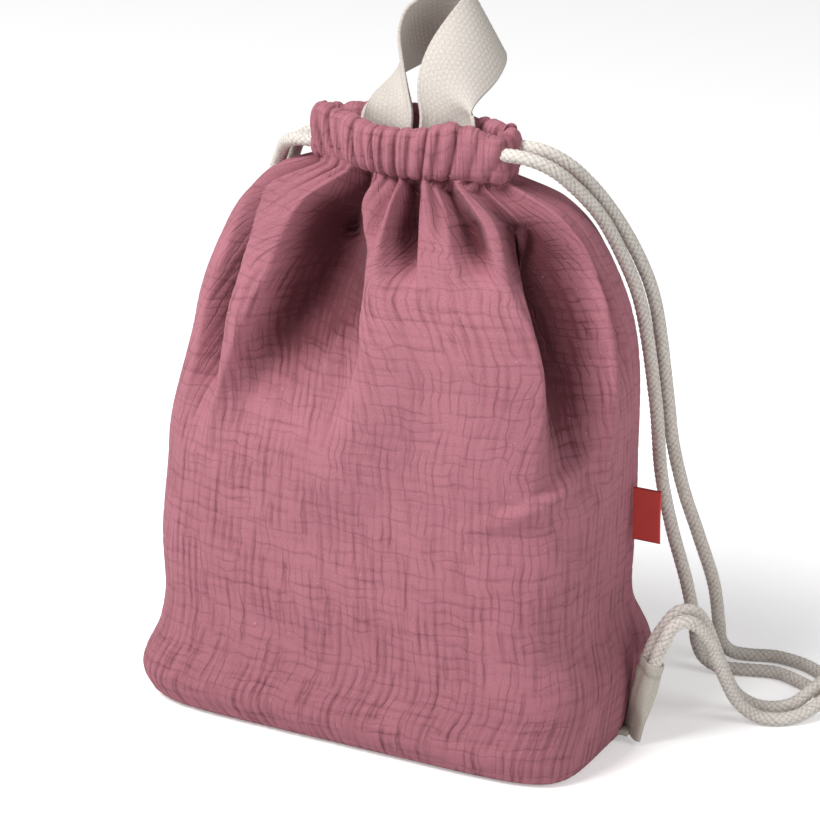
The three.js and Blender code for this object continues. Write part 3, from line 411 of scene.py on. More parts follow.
# Each fold: how abruptly its left and right walls fall, then stations from the mouth down, each with its
# height, share across the panel, depth, and reach to the left and right.
front_folds = [
    (0.8, 0.7, [(279, .07, 3, 5, 5), (268, .09, 9, 8, 6), (259, .13, 16, 10, 7), (249, .19, 24, 11, 8),
                (240, .208, 28, 12, 8), (229, .22, 30, 12, 9), (214, .223, 29, 12, 9), (199, .224, 24, 12, 9),
                (187, .225, 17, 12, 10), (170, .226, 8, 12, 11), (150, .224, 2, 12, 12),
                (136, .218, 0, 12, 12)]),
    (0.75, 0.9, [(279, .345, 4, 6, 5), (273, .345, 16, 8, 11), (266, .337, 28, 9, 21),
                 (259, .338, 38, 10, 29), (249, .35, 43, 11, 37), (230, .358, 43, 13, 41),
                 (215, .35, 36, 14, 44), (203, .338, 26, 14, 46), (190, .328, 17, 14, 46),
                 (175, .32, 10, 15, 45), (160, .315, 5, 16, 42), (143, .31, 2, 16, 38),
                 (128, .305, 0, 16, 36)]),
    (1.2, 0.8, [(235, .49, 0, 10, 4), (222, .49, 4, 14, 4), (205, .5, 8, 16, 5), (190, .487, 7, 15, 5),
                (175, .475, 4, 13, 5), (160, .47, 0, 12, 6)]),
    (1.3, 1.3, [(279, .490, 3, 5, 5), (268, .50, 6, 6, 5), (259, .507, 5, 7, 5), (249, .512, 0, 7, 5)]),
    (0.9, 0.9, [(279, .56, 5, 5, 4), (272, .572, 16, 7, 5), (264, .576, 25, 9, 6), (255, .58, 28, 11, 7),
                (248, .584, 22, 11, 7), (242, .586, 10, 10, 7), (235, .588, 0, 9, 7)]),
    (1.2, 1.2, [(279, .66, 3, 4, 4), (270, .665, 6, 5, 5), (262, .67, 4, 6, 6), (255, .675, 0, 6, 6)]),
    (0.9, 0.9, [(279, .70, 5, 5, 5), (271, .722, 13, 8, 6), (263, .732, 20, 11, 8), (255, .736, 20, 12, 8),
                (248, .738, 12, 11, 8), (240, .74, 0, 10, 8)]),
    (0.8, 0.8, [(279, .81, 4, 5, 5), (270, .84, 13, 8, 5), (262, .852, 21, 11, 6), (252, .85, 25, 13, 8),
                (244, .848, 22, 14, 9), (234, .85, 12, 14, 9), (222, .856, 4, 12, 9), (212, .858, 0, 12, 9)]),
    (0.65, 0.5, [(279, .90, 3, 5, 5), (268, .915, 11, 8, 8), (258, .925, 22, 15, 9), (248, .925, 31, 20, 11),
                 (236, .922, 38, 26, 13), (219, .914, 40, 26, 15), (201, .91, 37, 24, 17),
                 (186, .907, 29, 24, 17), (168, .904, 18, 25, 19), (150, .90, 8, 26, 20),
                 (132, .895, 0, 28, 22)]),
    (1.2, 1.2, [(279, .99, 2, 4, 4), (263, 1.0, 5, 5, 5), (243, 1.004, 8, 6, 6), (219, 1.008, 8, 6, 7),
                (198, 1.02, 5, 7, 8), (180, 1.03, 0, 8, 8)]),
]
back_folds = [
    (1.5, 1.5, [(279, .10, 3, 6, 6), (255, .13, 7, 11, 11), (225, .15, 8, 14, 14), (185, .16, 5, 14, 14),
                (150, .16, 0, 14, 14)]),
    (1.5, 1.5, [(279, .25, 4, 7, 6), (258, .26, 10, 16, 10), (235, .27, 14, 24, 14), (205, .28, 12, 26, 18),
                (160, .29, 0, 26, 22)]),
    (1.5, 1.5, [(279, .42, 3, 6, 5), (262, .42, 7, 10, 8), (245, .43, 7, 13, 10), (222, .43, 0, 13, 12)]),
    (1.5, 1.5, [(279, .53, 3, 6, 6), (260, .54, 7, 11, 12), (238, .55, 10, 16, 18), (208, .56, 8, 18, 22),
                (170, .57, 0, 18, 22)]),
    (1.5, 1.5, [(279, .66, 4, 6, 6), (262, .67, 8, 9, 9), (245, .68, 8, 11, 11), (225, .69, 0, 11, 11)]),
    (1.5, 1.5, [(279, .78, 4, 7, 7), (258, .78, 10, 12, 16), (232, .77, 15, 16, 24), (200, .76, 12, 20, 26),
                (155, .75, 0, 22, 26)]),
]
# Soft raised ridges of the same cloth, in the same form.
front_ridges = [
    (2, 2, [(262, .06, 0, 14, 14), (235, .13, 1, 16, 14), (200, .165, 2, 18, 15), (165, .17, 1, 18, 15),
            (120, .15, 0, 18, 16)]),
    (2, 1.3, [(268, .225, 1, 10, 10), (250, .255, 4, 14, 10), (222, .275, 6, 16, 10), (190, .272, 5, 18, 12),
              (140, .26, 0, 20, 18)]),
    (1.4, 2, [(266, .535, 2, 7, 8), (240, .535, 5, 8, 22), (205, .54, 6, 10, 34), (175, .535, 5, 14, 38),
              (135, .49, 3, 26, 40), (105, .43, 0, 26, 40)]),
    (1.5, 1.5, [(268, .955, 1, 6, 5), (248, .972, 4, 8, 6), (220, .966, 5, 9, 8), (190, .966, 4, 10, 10),
                (160, .97, 0, 12, 12)]),
    (2, 2, [(166, .97, 0, 14, 16), (152, .92, 3, 16, 18), (141, .85, 3.5, 20, 20), (131, .78, 2.5, 22, 22),
            (122, .72, 0, 22, 22)]),
]
back_ridges = [
    (2, 2, [(262, .19, 1, 10, 10), (235, .205, 4, 14, 14), (195, .215, 4, 18, 18), (140, .22, 0, 20, 20)]),
    (2, 2, [(250, .35, 2, 12, 12), (215, .36, 4, 18, 18), (150, .37, 0, 20, 20)]),
    (2, 2, [(250, .62, 2, 10, 10), (215, .655, 4, 18, 18), (150, .66, 0, 20, 20)]),
]


def soft_window(count):
    """Weights of a smooth moving average over so many points."""
    return np.hanning(count) / np.hanning(count).sum()


def fold_depth(lines, heights, shares, lengths):
    """Total depth of fold lines at every height and share across the panel."""
    total = np.zeros(shares.shape)
    kernel = soft_window(15)
    for left_wall, right_wall, line in lines:
        stations = np.array(sorted(line), float)
        values = []
        for column in range(1, 5):
            rough = np.interp(heights, stations[:, 0], stations[:, column])
            values.append(np.convolve(np.pad(rough, 7, mode="edge"), kernel, mode="valid")[:, None])
        centre, depth, left, right = values
        away = (shares - centre) * lengths[:, None]
        t = 1 - np.abs(away) / np.where(away < 0, left, right)
        fall = np.where(away < 0, left_wall, right_wall)
        total += depth * np.sin(np.pi / 2 * np.clip(t, 0, 1)) ** fall
    return total


def gathered_panel(side, folds, ridges, seed):
    """The folded panel as a grid of points from its foot to its neck, before it is crinkled."""
    steps = np.linspace(0.5, LIP_TOP_Z, 700)
    girth = (level_at(np.minimum(steps, NECK_Z), 1) + level_at(np.minimum(steps, NECK_Z), 2)) / 4
    run = run_along(np.stack([steps, girth], 1))
    heights = np.interp(np.linspace(0, run[-1], PANEL_ROWS), run, steps)
    fine = 1201
    rounding = 5.0
    rows, halves = [], []
    for height in heights:
        inset = rounding - np.sqrt(max(rounding ** 2 - max(rounding - height, 0) ** 2, 0))
        row = half_outline(min(height, NECK_Z), side, fine, inset)
        rise = max(height - NECK_Z, 0)
        held = ease((np.abs(row[:, 1]) - 4) / 6)
        face = channel_y(row[:, 0], side) + side * (lip_reach(row[:, 0], NECK_Z + rise, side) - 1.0)
        past = np.clip((np.abs(row[:, 0] - MOUTH_X) - CHANNEL_STRAIGHT) / 9, 0, 0.98)
        face = face * np.sqrt(1 - past ** 2)
        row[:, 1] += (face - row[:, 1]) * held * ease(rise / 6)
        row[:, 2] = min(height, NECK_Z) + rise * (0.3 + 0.7 * held)
        rows.append(row)
        seamless = np.vstack([row, half_outline(min(height, NECK_Z), -side, fine, inset)[::-1]])
        halves.append(np.hypot(*np.diff(seamless[:, :2], axis=0).T).sum() / 2)
    plain, halves = np.array(rows), np.array(halves)
    lengths = np.linalg.norm(np.diff(plain, axis=1), axis=2).sum(1)
    shares = np.linspace(0, 1, fine)[None] * (lengths / halves)[:, None]
    normal = grid_normals(plain) * (1 if side < 0 else -1)
    normal[..., 2] *= 0.3
    normal /= np.linalg.norm(normal, axis=2, keepdims=True)
    sunk = fold_depth(folds, heights, shares, halves)
    moved = fold_depth(ridges, heights, shares, halves) - sunk
    moved *= 1 - 0.6 * ease((heights - 274) / 8)[:, None]
    neck = half_outline(NECK_Z, side, fine)[:, 0]
    reach = 20 + 26 * soft_noise(neck / 6 + 20, np.zeros(fine), seed)
    fade = np.clip((heights[:, None] - (NECK_Z - reach[None])) / reach[None], 0, 1)
    gathered = 4.2 * (1 - ease((heights - NECK_Z) / 5))[:, None]
    drawn_in = pleat_valley(neck, side)[None] * fade ** 1.3
    moved -= gathered * drawn_in
    edge = np.minimum(np.linspace(0, 1, fine), np.linspace(1, 0, fine))[None] * lengths[:, None]
    moved = moved * ease(edge / 10) - 1.6 * np.exp(-(edge / 2.6) ** 2)
    folded = plain + normal * moved[..., None]
    soften = soft_window(17)
    for axis in range(2):
        softened = np.apply_along_axis(np.convolve, 1, folded[..., axis], soften, mode="valid")
        folded[:, 8:-8, axis] = softened
    columns = np.linspace(0, 1, PANEL_COLUMNS)
    grid = np.empty((PANEL_ROWS, PANEL_COLUMNS, 3))
    hollow = np.empty((PANEL_ROWS, PANEL_COLUMNS))
    for k, row in enumerate(folded):
        along = run_along(row)
        for axis in range(3):
            grid[k, :, axis] = np.interp(columns * along[-1], along, row[:, axis])
        # The depth of the folds and of the neck's drawn-in pleats, kept for painting shade into the folds.
        hollow[k] = np.interp(columns * along[-1], along, sunk[k] + 13 * drawn_in[k])
    return grid, heights, hollow


def panel_piece(name, side, folds, ridges, seed):
    """The finished panel: crinkled outside, plain inside, closed round its edges."""
    grid, heights, hollow = gathered_panel(side, folds, ridges, seed)
    normal = grid_normals(grid) * (1 if side < 0 else -1)
    rise = run_along(grid[:, PANEL_COLUMNS // 2])
    across, along = np.meshgrid(np.linspace(0, CUT_WIDTH, PANEL_COLUMNS), rise)
    furrow = crinkle(across, along, seed)
    calm = 0.55 + 0.6 * soft_noise(across / 60, along / 60, seed + 9)
    calm = calm + 0.25 * np.clip((120 - along) / 120, 0, 1)
    edge = np.minimum(np.minimum(across, CUT_WIDTH - across) / 3, along / 3).clip(0, 1)
    furrow = furrow * calm * edge * (1 - 0.8 * ease((heights - 222) / 36))[:, None]
    outer = grid + normal * (0.3 - 0.55 * furrow)[..., None]
    outer[..., 2] = np.maximum(outer[..., 2], 0.3)
    rows, columns = np.arange(0, PANEL_ROWS, INNER_STEP), np.arange(0, PANEL_COLUMNS, INNER_STEP)
    rows[-1], columns[-1] = PANEL_ROWS - 1, PANEL_COLUMNS - 1
    inner = (grid - CLOTH_THICK * normal)[np.ix_(rows, columns)]
    inner[..., 2] = np.maximum(inner[..., 2], 0.6)
    start = PANEL_ROWS * PANEL_COLUMNS
    outside = np.arange(start).reshape(PANEL_ROWS, PANEL_COLUMNS)
    inside = start + np.arange(len(rows) * len(columns)).reshape(len(rows), len(columns))
    flip = side > 0
    faces = [grid_faces(PANEL_ROWS, PANEL_COLUMNS, 0, flip),
             grid_faces(len(rows), len(columns), start, not flip)]
    borders = [(outside[0], inside[0], columns, True), (outside[-1], inside[-1], columns, False),
               (outside[:, 0], inside[:, 0], rows, False), (outside[:, -1], inside[:, -1], rows, True)]
    strips = []
    for fine, coarse, kept, reverse in borders:
        for k in range(len(kept) - 1):
            half = (kept[k] + kept[k + 1]) // 2
            fan = [(fine[i + 1], fine[i], coarse[k]) for i in range(kept[k], half)]
            fan += [(fine[half], coarse[k], coarse[k + 1])]
            fan += [(fine[i + 1], fine[i], coarse[k + 1]) for i in range(half, kept[k + 1])]
            strips += [f[::-1] for f in fan] if reverse != flip else fan
    faces.append(np.array(strips))
    points = np.concatenate([outer.reshape(-1, 3), inner.reshape(-1, 3)])
    cloth = np.stack([across, along], -1)
    uv = np.concatenate([cloth.reshape(-1, 2), cloth[np.ix_(rows, columns)].reshape(-1, 2)])
    # Painted shade: the colour darkens towards the dark rose with the depth of the folds and the neck's
    # pleats.
    painted_fold_shade = 0.92 * ease((hollow - 2) / 21)
    # Painted shade: darker near the neck and towards the foot.
    painted_neck_and_foot_shade = 0.2 * ease((heights - 232) / 30) + 0.2 * ease((200 - heights) / 200)
    # The crinkle's furrows darken too: painted shade in the furrows. The inner layer takes the same painted
    # shade.
    shaded = 0.36 * furrow + painted_fold_shade + painted_neck_and_foot_shade[:, None]
    shade = np.concatenate([shaded.ravel(), shaded[np.ix_(rows, columns)].ravel()])
    return new_piece(name, points, faces, rose_cotton, uv=uv, furrow=shade)


for name, side, folds, ridges, seed, width in (("front", -1, front_folds, front_ridges, 11, 0.355),
                                               ("back", 1, back_folds, back_ridges, 37, 0.32)):
    panel = panel_piece(f"{name}_cotton", side, folds, ridges, seed)
    y = side * 0.0235
    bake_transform(panel)
    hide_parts(f"{name}_panel")

# Drawstring channels: the top edge of each panel turned in and stitched down as a tunnel, then gathered
# on the cords into a row of puffy upright pleats.
CHANNEL_ROWS = 300
TURN_ROWS = 22
CHANNEL_POINTS = 60
# How far the top edge of each lip stands up, along the mouth.
lip_places = [-52, -40, -30, -12, 3, 14, 27, 38, 47, 56]
lip_rises = {-1: [3, 4.5, 3, 0.5, 1, 2.5, 5.5, 4, 1, 0], 1: [1, 1, 2, 3, 2, 1, 2, 3, 2, 1]}


def channel_rings(side, half_thick, half_high, pleat, seed):
    """Rounded upright rings along a channel, drawn in at its pleats, its ends turned to the other one."""
    bend = np.linspace(0, np.pi / 2, TURN_ROWS + 1)[1:]
    x = np.linspace(MOUTH_X - CHANNEL_STRAIGHT, MOUTH_X + CHANNEL_STRAIGHT, CHANNEL_ROWS)
    y = channel_y(x, side)
    slope = np.gradient(y, x)
    across = np.stack([-slope, np.ones(len(x))], 1)
    turn_x, turn_y = 3.4 * np.sin(bend), y[0] * np.cos(bend)
    outward = np.stack([7.6 * np.sin(bend), side * 3.4 * np.cos(bend)], 1)
    left, right = np.array([-side, side]), np.array([side, side])
    across = np.concatenate([(outward * left)[::-1], across, outward * right])
    across /= np.linalg.norm(across, axis=1, keepdims=True)
    places = np.concatenate([x[0] - 8 * np.sin(bend)[::-1], x, x[-1] + 8 * np.sin(bend)])[:, None]
    centre_x = np.concatenate([x[0] - turn_x[::-1], x, x[-1] + turn_x])
    centre_y = np.concatenate([turn_y[::-1], y, turn_y])
    angle = np.linspace(0, 2 * np.pi, CHANNEL_POINTS, endpoint=False)
    c, s = np.cos(angle), np.sin(angle)
    u = (np.sign(c) * np.abs(c) ** (2 / 2.6))[None]
    v = (np.sign(s) * np.abs(s) ** (2 / 2.6))[None]
    lean = 9.0 * (places - MOUTH_X) / CHANNEL_HALF * (v + 1) / 2
    valley = pleat_valley(places - lean, side)
    puff = 1.4 * (soft_noise(places / 7 + 30, 0 * places, seed) - 0.4)
    raised = np.interp(places, lip_places, lip_rises[side])
    puff = (puff * np.clip(v, 0, 1) + raised * ease((v + 0.1) / 0.9)) * (pleat > 0)
    slim = 1 - 0.3 * ease((np.abs(places - MOUTH_X) - CHANNEL_STRAIGHT) / 8) * (pleat > 0)
    du = u * slim * half_thick - u * valley * pleat
    dv = v * half_high - v * valley * pleat * 0.4 + puff
    rings = np.empty(du.shape + (3,))
    rings[..., 0] = centre_x[:, None] + across[:, :1] * du
    rings[..., 1] = centre_y[:, None] + across[:, 1:] * du
    rings[..., 2] = CHANNEL_Z + dv
    return rings, valley


for name, side, seed in (("front", -1, 51), ("back", 1, 53)):
    rings, valley = channel_rings(side, LIP_THICK, LIP_HIGH, LIP_PLEAT, seed)
    hollow, _ = channel_rings(side, 3.4, 6.8, 0, seed)
    rows = len(rings)
    around = np.linspace(0, 62, CHANNEL_POINTS)[None] + np.zeros((rows, 1))
    along = np.linspace(0, 190, rows)[:, None] + np.zeros((1, CHANNEL_POINTS))
    closed = rings[:, np.r_[0:CHANNEL_POINTS, 0]]
    normal = np.cross(np.gradient(closed, axis=0), np.gradient(closed, axis=1))[:, :-1]
    normal /= np.maximum(np.linalg.norm(normal, axis=2, keepdims=True), 1e-9)
    outward = rings - rings.mean(1, keepdims=True)
    normal *= np.sign((normal * outward).sum(2).mean())
    furrow = crinkle(along, around, seed)
    rings = rings + normal * (0.1 - 0.35 * furrow)[..., None]
    shift = rows * CHANNEL_POINTS
    at, quads = ring_faces(rows, CHANNEL_POINTS)
    quads = np.roll(quads, -1, axis=1)
    ends = [np.stack([at[0, :-1], at[0, 1:], at[0, 1:] + shift, at[0, :-1] + shift], -1)[:, ::-1],
            np.stack([at[-1, :-1], at[-1, 1:], at[-1, 1:] + shift, at[-1, :-1] + shift], -1)]
    points = np.concatenate([rings.reshape(-1, 3), hollow.reshape(-1, 3)])
    uv = np.tile(np.stack([along.ravel(), around.ravel()], 1), (2, 1))
    # Painted shade: darker in the pleat valleys and the crinkle's furrows, and the inside of the tunnel takes
    # the full dark rose.
    shade = np.concatenate([(0.3 * furrow + 0.45 * valley).ravel(), np.ones(shift)])
    channel = new_piece(f"{name}_drawstring_channel", points, [quads, quads[:, ::-1] + shift] + ends,
                        rose_cotton, uv=uv, furrow=shade)
    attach(channel, f"{name}_lip")
    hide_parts(f"{name}_channel")

# Cords: two round braided cotton cords. Each runs through both channels and leaves the mouth at its own
# side as two strands, which hang to the floor and end sewn into the canvas tab at that lower corner.
CORD_DIAMETER = 6.4
YARNS_EACH_WAY = 6
YARN_STEP = 3.2
GAP = 0.3
CHANNEL_END_Y = 7.6
RIGHT_LANE_Z = 290.3
LEFT_LANE_Z = 283.6
CHANNEL_LEFT_X = MOUTH_X - CHANNEL_STRAIGHT
CHANNEL_RIGHT_X = MOUTH_X + CHANNEL_STRAIGHT

# The darker beige is painted shade in the grooves between the yarns.
beige_cotton = cloth_finish("beige_cord", (0.82, 0.77, 0.71, 1), (0.36, 0.32, 0.285, 1),
                            (0.9, 0.87, 0.83, 1), threads=1800.0, rough=0.86, sheen=0.08, bump=0.0001,
                            fleck_from=0.72)


def smooth_path(points, step):
    """Points a step apart on a centripetal curve through the route points."""
    p = np.vstack([2 * points[0] - points[1], points, 2 * points[-1] - points[-2]])
    dense = []
    t = np.linspace(0, 1, 40, endpoint=False)[:, None]
    for k in range(1, len(p) - 2):
        a, b, c, d = p[k - 1:k + 3]
        before, here, after = (max(np.linalg.norm(leg) ** 0.5, 1e-4) for leg in (b - a, c - b, d - c))
        start = ((b - a) / before - (c - a) / (before + here) + (c - b) / here) * here
        end = ((c - b) / here - (d - b) / (here + after) + (d - c) / after) * here
        square, cube = t * t, t * t * t
        dense.append(b * (2 * cube - 3 * square + 1) + start * (cube - 2 * square + t)
                     + c * (3 * square - 2 * cube) + end * (cube - square))
    dense = np.vstack(dense + [points[-1:]])
    run = run_along(dense)
    at = np.linspace(0, run[-1], max(int(round(run[-1] / step)), 2) + 1)
    return np.stack([np.interp(at, run, dense[:, axis]) for axis in range(3)], 1), at


def braided_cord(name, points, step=0.75, sides=32):
    """A closed braided tube along a route: yarns wind round both ways, crossing over and under."""
    path, run = smooth_path(np.asarray(points, float), step)
    tangent = np.gradient(path, axis=0)
    tangent /= np.linalg.norm(tangent, axis=1, keepdims=True)
    up = np.array([0.0, 0.3, 1.0]) if abs(tangent[0, 2]) < 0.8 else np.array([1.0, 0.0, 0.0])
    frames = []
    for t in tangent:
        up = up - t * (up @ t)
        up /= np.linalg.norm(up)
        frames.append(up)
    first = np.array(frames)
    second = np.cross(tangent, first)
    angle = np.linspace(0, 2 * np.pi, sides, endpoint=False)
    turn, length = np.meshgrid(angle * YARNS_EACH_WAY / (2 * np.pi), run / YARN_STEP)
    a, b = turn + length, turn - length
    fa, fb = 2 * (a - np.floor(a)) - 1, 2 * (b - np.floor(b)) - 1
    over = (np.floor(a) + np.floor(b)) % 2 == 0
    yarn = np.where(over, (1 - fa ** 2) * (1 - 0.35 * fb ** 2), (1 - fb ** 2) * (1 - 0.35 * fa ** 2))
    radius = CORD_DIAMETER / 2 - 0.35 + 0.6 * yarn
    ring = first[:, None] * np.cos(angle)[None, :, None] + second[:, None] * np.sin(angle)[None, :, None]
    rings = path[:, None] + ring * radius[..., None]
    rings[..., 2] = np.maximum(rings[..., 2], 0.15)
    uv = np.stack(np.broadcast_arrays(angle[None] * CORD_DIAMETER / 2, run[:, None]), -1)
    # The furrow attribute darkens the grooves between the yarns: painted shade.
    cord = new_piece(name, rings.reshape(-1, 3), tube_faces(len(path), sides), beige_cotton,
                     uv=uv.reshape(-1, 2), furrow=0.85 * (1 - yarn).ravel() ** 1.5, crisp=True)
    return cord, path, run[-1]


lanes = np.linspace(CHANNEL_LEFT_X, CHANNEL_RIGHT_X, 19)
for owner, lane in (("right", RIGHT_LANE_Z), ("left", LEFT_LANE_Z)):
    for face, side in (("front", -1), ("back", 1)):
        route = np.stack([lanes, channel_y(lanes, side), np.full(len(lanes), lane)], 1)
        cord, _, _ = braided_cord(f"{owner}_cord_in_{face}_channel", route)
        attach(cord, f"{face}_lip")
        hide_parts(f"{owner}_cord_{face}_run")

for owner, end, outward, lane in (("left", CHANNEL_RIGHT_X, 1, LEFT_LANE_Z),
                                  ("right", CHANNEL_LEFT_X, -1, RIGHT_LANE_Z)):
    bend = np.linspace(0, np.pi / 2, 6)
    for face, side in (("front", -1), ("back", 1)):
        route = np.stack([end + outward * (GAP + 3.2 * np.sin(bend)), side * CHANNEL_END_Y * np.cos(bend),
                          np.full(len(bend), lane)], 1)
        cord, _, _ = braided_cord(f"{owner}_cord_turn_{face}_half", route)
        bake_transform(cord)
        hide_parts(f"{owner}_cord_cross")

# Routes of the four strands, in millimetres, from the channel's end to the tab.
right_front_route = [
    (48.3, -7.6, 290.3), (64, -7.4, 290.3), (74, -2, 285.5), (81, 7, 276), (89.5, 20, 259),
    (96.5, 31.5, 236.5), (103, 38.5, 213), (108, 49, 159.5), (107.5, 60, 116), (110.5, 68, 85.5),
    (116, 76, 53.5), (118.3, 82.5, 29), (118.5, 86, 17), (121.5, 88.7, 8.4), (128, 90.5, 4.3),
    (138, 93.5, 3.5), (157, 98.5, 3.5), (170, 94.5, 3.5), (197, 80.5, 3.5), (212, 79, 3.5), (226, 84.5, 3.5),
    (235, 97, 3.5), (235, 112, 3.5), (227, 123.5, 3.5), (213, 128.5, 3.5), (200, 126, 3.8),
    (191.5, 117, 6.2), (188.5, 106, 10), (187.5, 94, 11), (185, 78, 10), (178.5, 65.5, 5.2), (169, 60, 3.6),
    (161, 57, 5), (154, 52, 11.5), (149.8, 44, 27.5), (147.5, 34.5, 46), (146, 27.5, 58),
    (143.2, 20.5, 66.3), (138, 13.2, 67.8), (133.5, 8.2, 61.5),
]
right_back_route = [
    (48.3, 7.6, 290.3), (64, 7.8, 290.3), (74, 13.5, 284.5), (81.5, 23, 273.5), (90, 36, 254.5),
    (99, 47, 230), (104.5, 53, 208.5), (109.5, 61, 155.5), (110.5, 65.5, 133), (114.5, 72, 105),
    (120, 79, 80), (125.5, 88.5, 50), (125.5, 97, 25), (125, 102.5, 12.5), (128.5, 107.5, 5.5),
    (136, 111.5, 3.5), (150, 115.8, 3.5), (166, 113.5, 3.5), (180, 106, 3.5), (204, 93, 3.5),
    (214, 91.5, 3.5), (222.7, 96.5, 3.5), (226, 106, 3.5), (221.8, 115.3, 3.5), (212, 119.5, 3.8),
    (203, 116, 5.6), (198, 108, 8.8), (197, 97, 11), (195.5, 82, 11), (191.5, 68, 7.2), (184.5, 56, 4),
    (175.5, 49, 3.5), (167, 46, 5), (159.5, 41.5, 12.5), (154.8, 33.5, 29), (152.3, 25, 45), (151, 19, 55),
    (148.6, 12.4, 63), (144.3, 6.4, 67), (139.9, 2.6, 64.5), (137.2, 1.1, 58),
]
left_front_route = [
    (-42.3, -7.6, 283.6), (-57, -6, 282.5), (-67.5, 1.5, 277.5), (-77, 12.5, 267), (-88, 25, 251),
    (-96, 35, 229), (-101, 43, 203), (-105, 57, 140), (-104, 65, 105), (-102, 73, 70), (-100, 80.5, 38),
    (-98, 85, 22), (-94.5, 88.5, 10.5), (-87.5, 90.5, 4.8), (-78, 92, 3.5), (-47, 96.5, 3.5),
    (-28, 100, 3.5), (-12, 106.5, 3.5), (-3.5, 118, 3.5), (-6.5, 133, 3.5), (-20, 142, 3.5),
    (-40, 143.5, 3.5), (-62, 140.5, 3.5), (-104, 126.5, 3.5), (-121, 113, 3.6), (-131, 96, 7),
    (-135.5, 78, 18), (-137, 61, 34), (-137, 45, 51), (-136, 30, 65), (-133.5, 16.5, 73.5), (-131.3, 5, 73),
]
left_back_route = [
    (-42.3, 7.6, 283.6), (-57, 8.5, 282), (-67, 15, 276.5), (-77, 26, 265), (-88, 39.5, 247),
    (-95.5, 49.5, 225), (-100.5, 57, 200), (-105, 70, 139), (-105, 77.5, 106), (-104, 85, 73),
    (-102.3, 92.3, 41), (-100, 97, 22), (-96.5, 100.5, 10.5), (-89.5, 102, 4.8), (-80, 103, 3.5),
    (-48, 106.5, 3.5), (-30, 109, 3.5), (-17, 115, 3.5), (-13.5, 125, 3.5), (-21, 134, 3.5),
    (-36, 135.5, 3.5), (-56, 132.5, 3.5), (-97, 118, 3.5), (-112, 105, 3.8), (-121, 90, 8.5),
    (-125.5, 74, 20), (-127.5, 59, 34), (-128.3, 45, 48.5), (-129, 32.5, 60), (-129.6, 20.5, 67),
    (-130, 10.8, 66),
]
TAB_LENGTH = 42.0
TAB_POCKET = 24.0
TAB_FOOT_Y = 3.0
TAB_FOOT_Z = 4.0


def tab_frame(x, lean, turn):
    """Foot of a tab and its three directions: across its two cords, through them, and up."""
    lean, turn = np.radians(lean), np.radians(turn)
    tip = np.array([[np.cos(lean), 0, np.sin(lean)], [0, 1, 0], [-np.sin(lean), 0, np.cos(lean)]])
    spin = np.array([[np.cos(turn), -np.sin(turn), 0], [np.sin(turn), np.cos(turn), 0], [0, 0, 1]])
    return np.array([x, TAB_FOOT_Y, TAB_FOOT_Z]), tip @ spin


right_seam = float(level_at(TAB_FOOT_Z, 4) + level_at(TAB_FOOT_Z, 1) / 2)
left_seam = float(level_at(TAB_FOOT_Z, 4) - level_at(TAB_FOOT_Z, 1) / 2)
tab_frames = {"right": tab_frame(right_seam + 5, 13.7, -40), "left": tab_frame(left_seam - 13.3, 1, 90)}
for owner, face, side, route in (("right", "front", -1, right_front_route),
                                 ("right", "back", 1, right_back_route),
                                 ("left", "front", -1, left_front_route),
                                 ("left", "back", 1, left_back_route)):
    foot, turned = tab_frames[owner]
    ends = [foot + turned @ np.array([side * (CORD_DIAMETER / 2 + GAP), 0, h])
            for h in (TAB_LENGTH + CORD_DIAMETER, TAB_LENGTH - TAB_POCKET + GAP)]
    cord, path, length = braided_cord(f"{owner}_cord_{face}_length", route + ends)
    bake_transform(cord)
    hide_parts(f"{owner}_cord_{face}_strand")

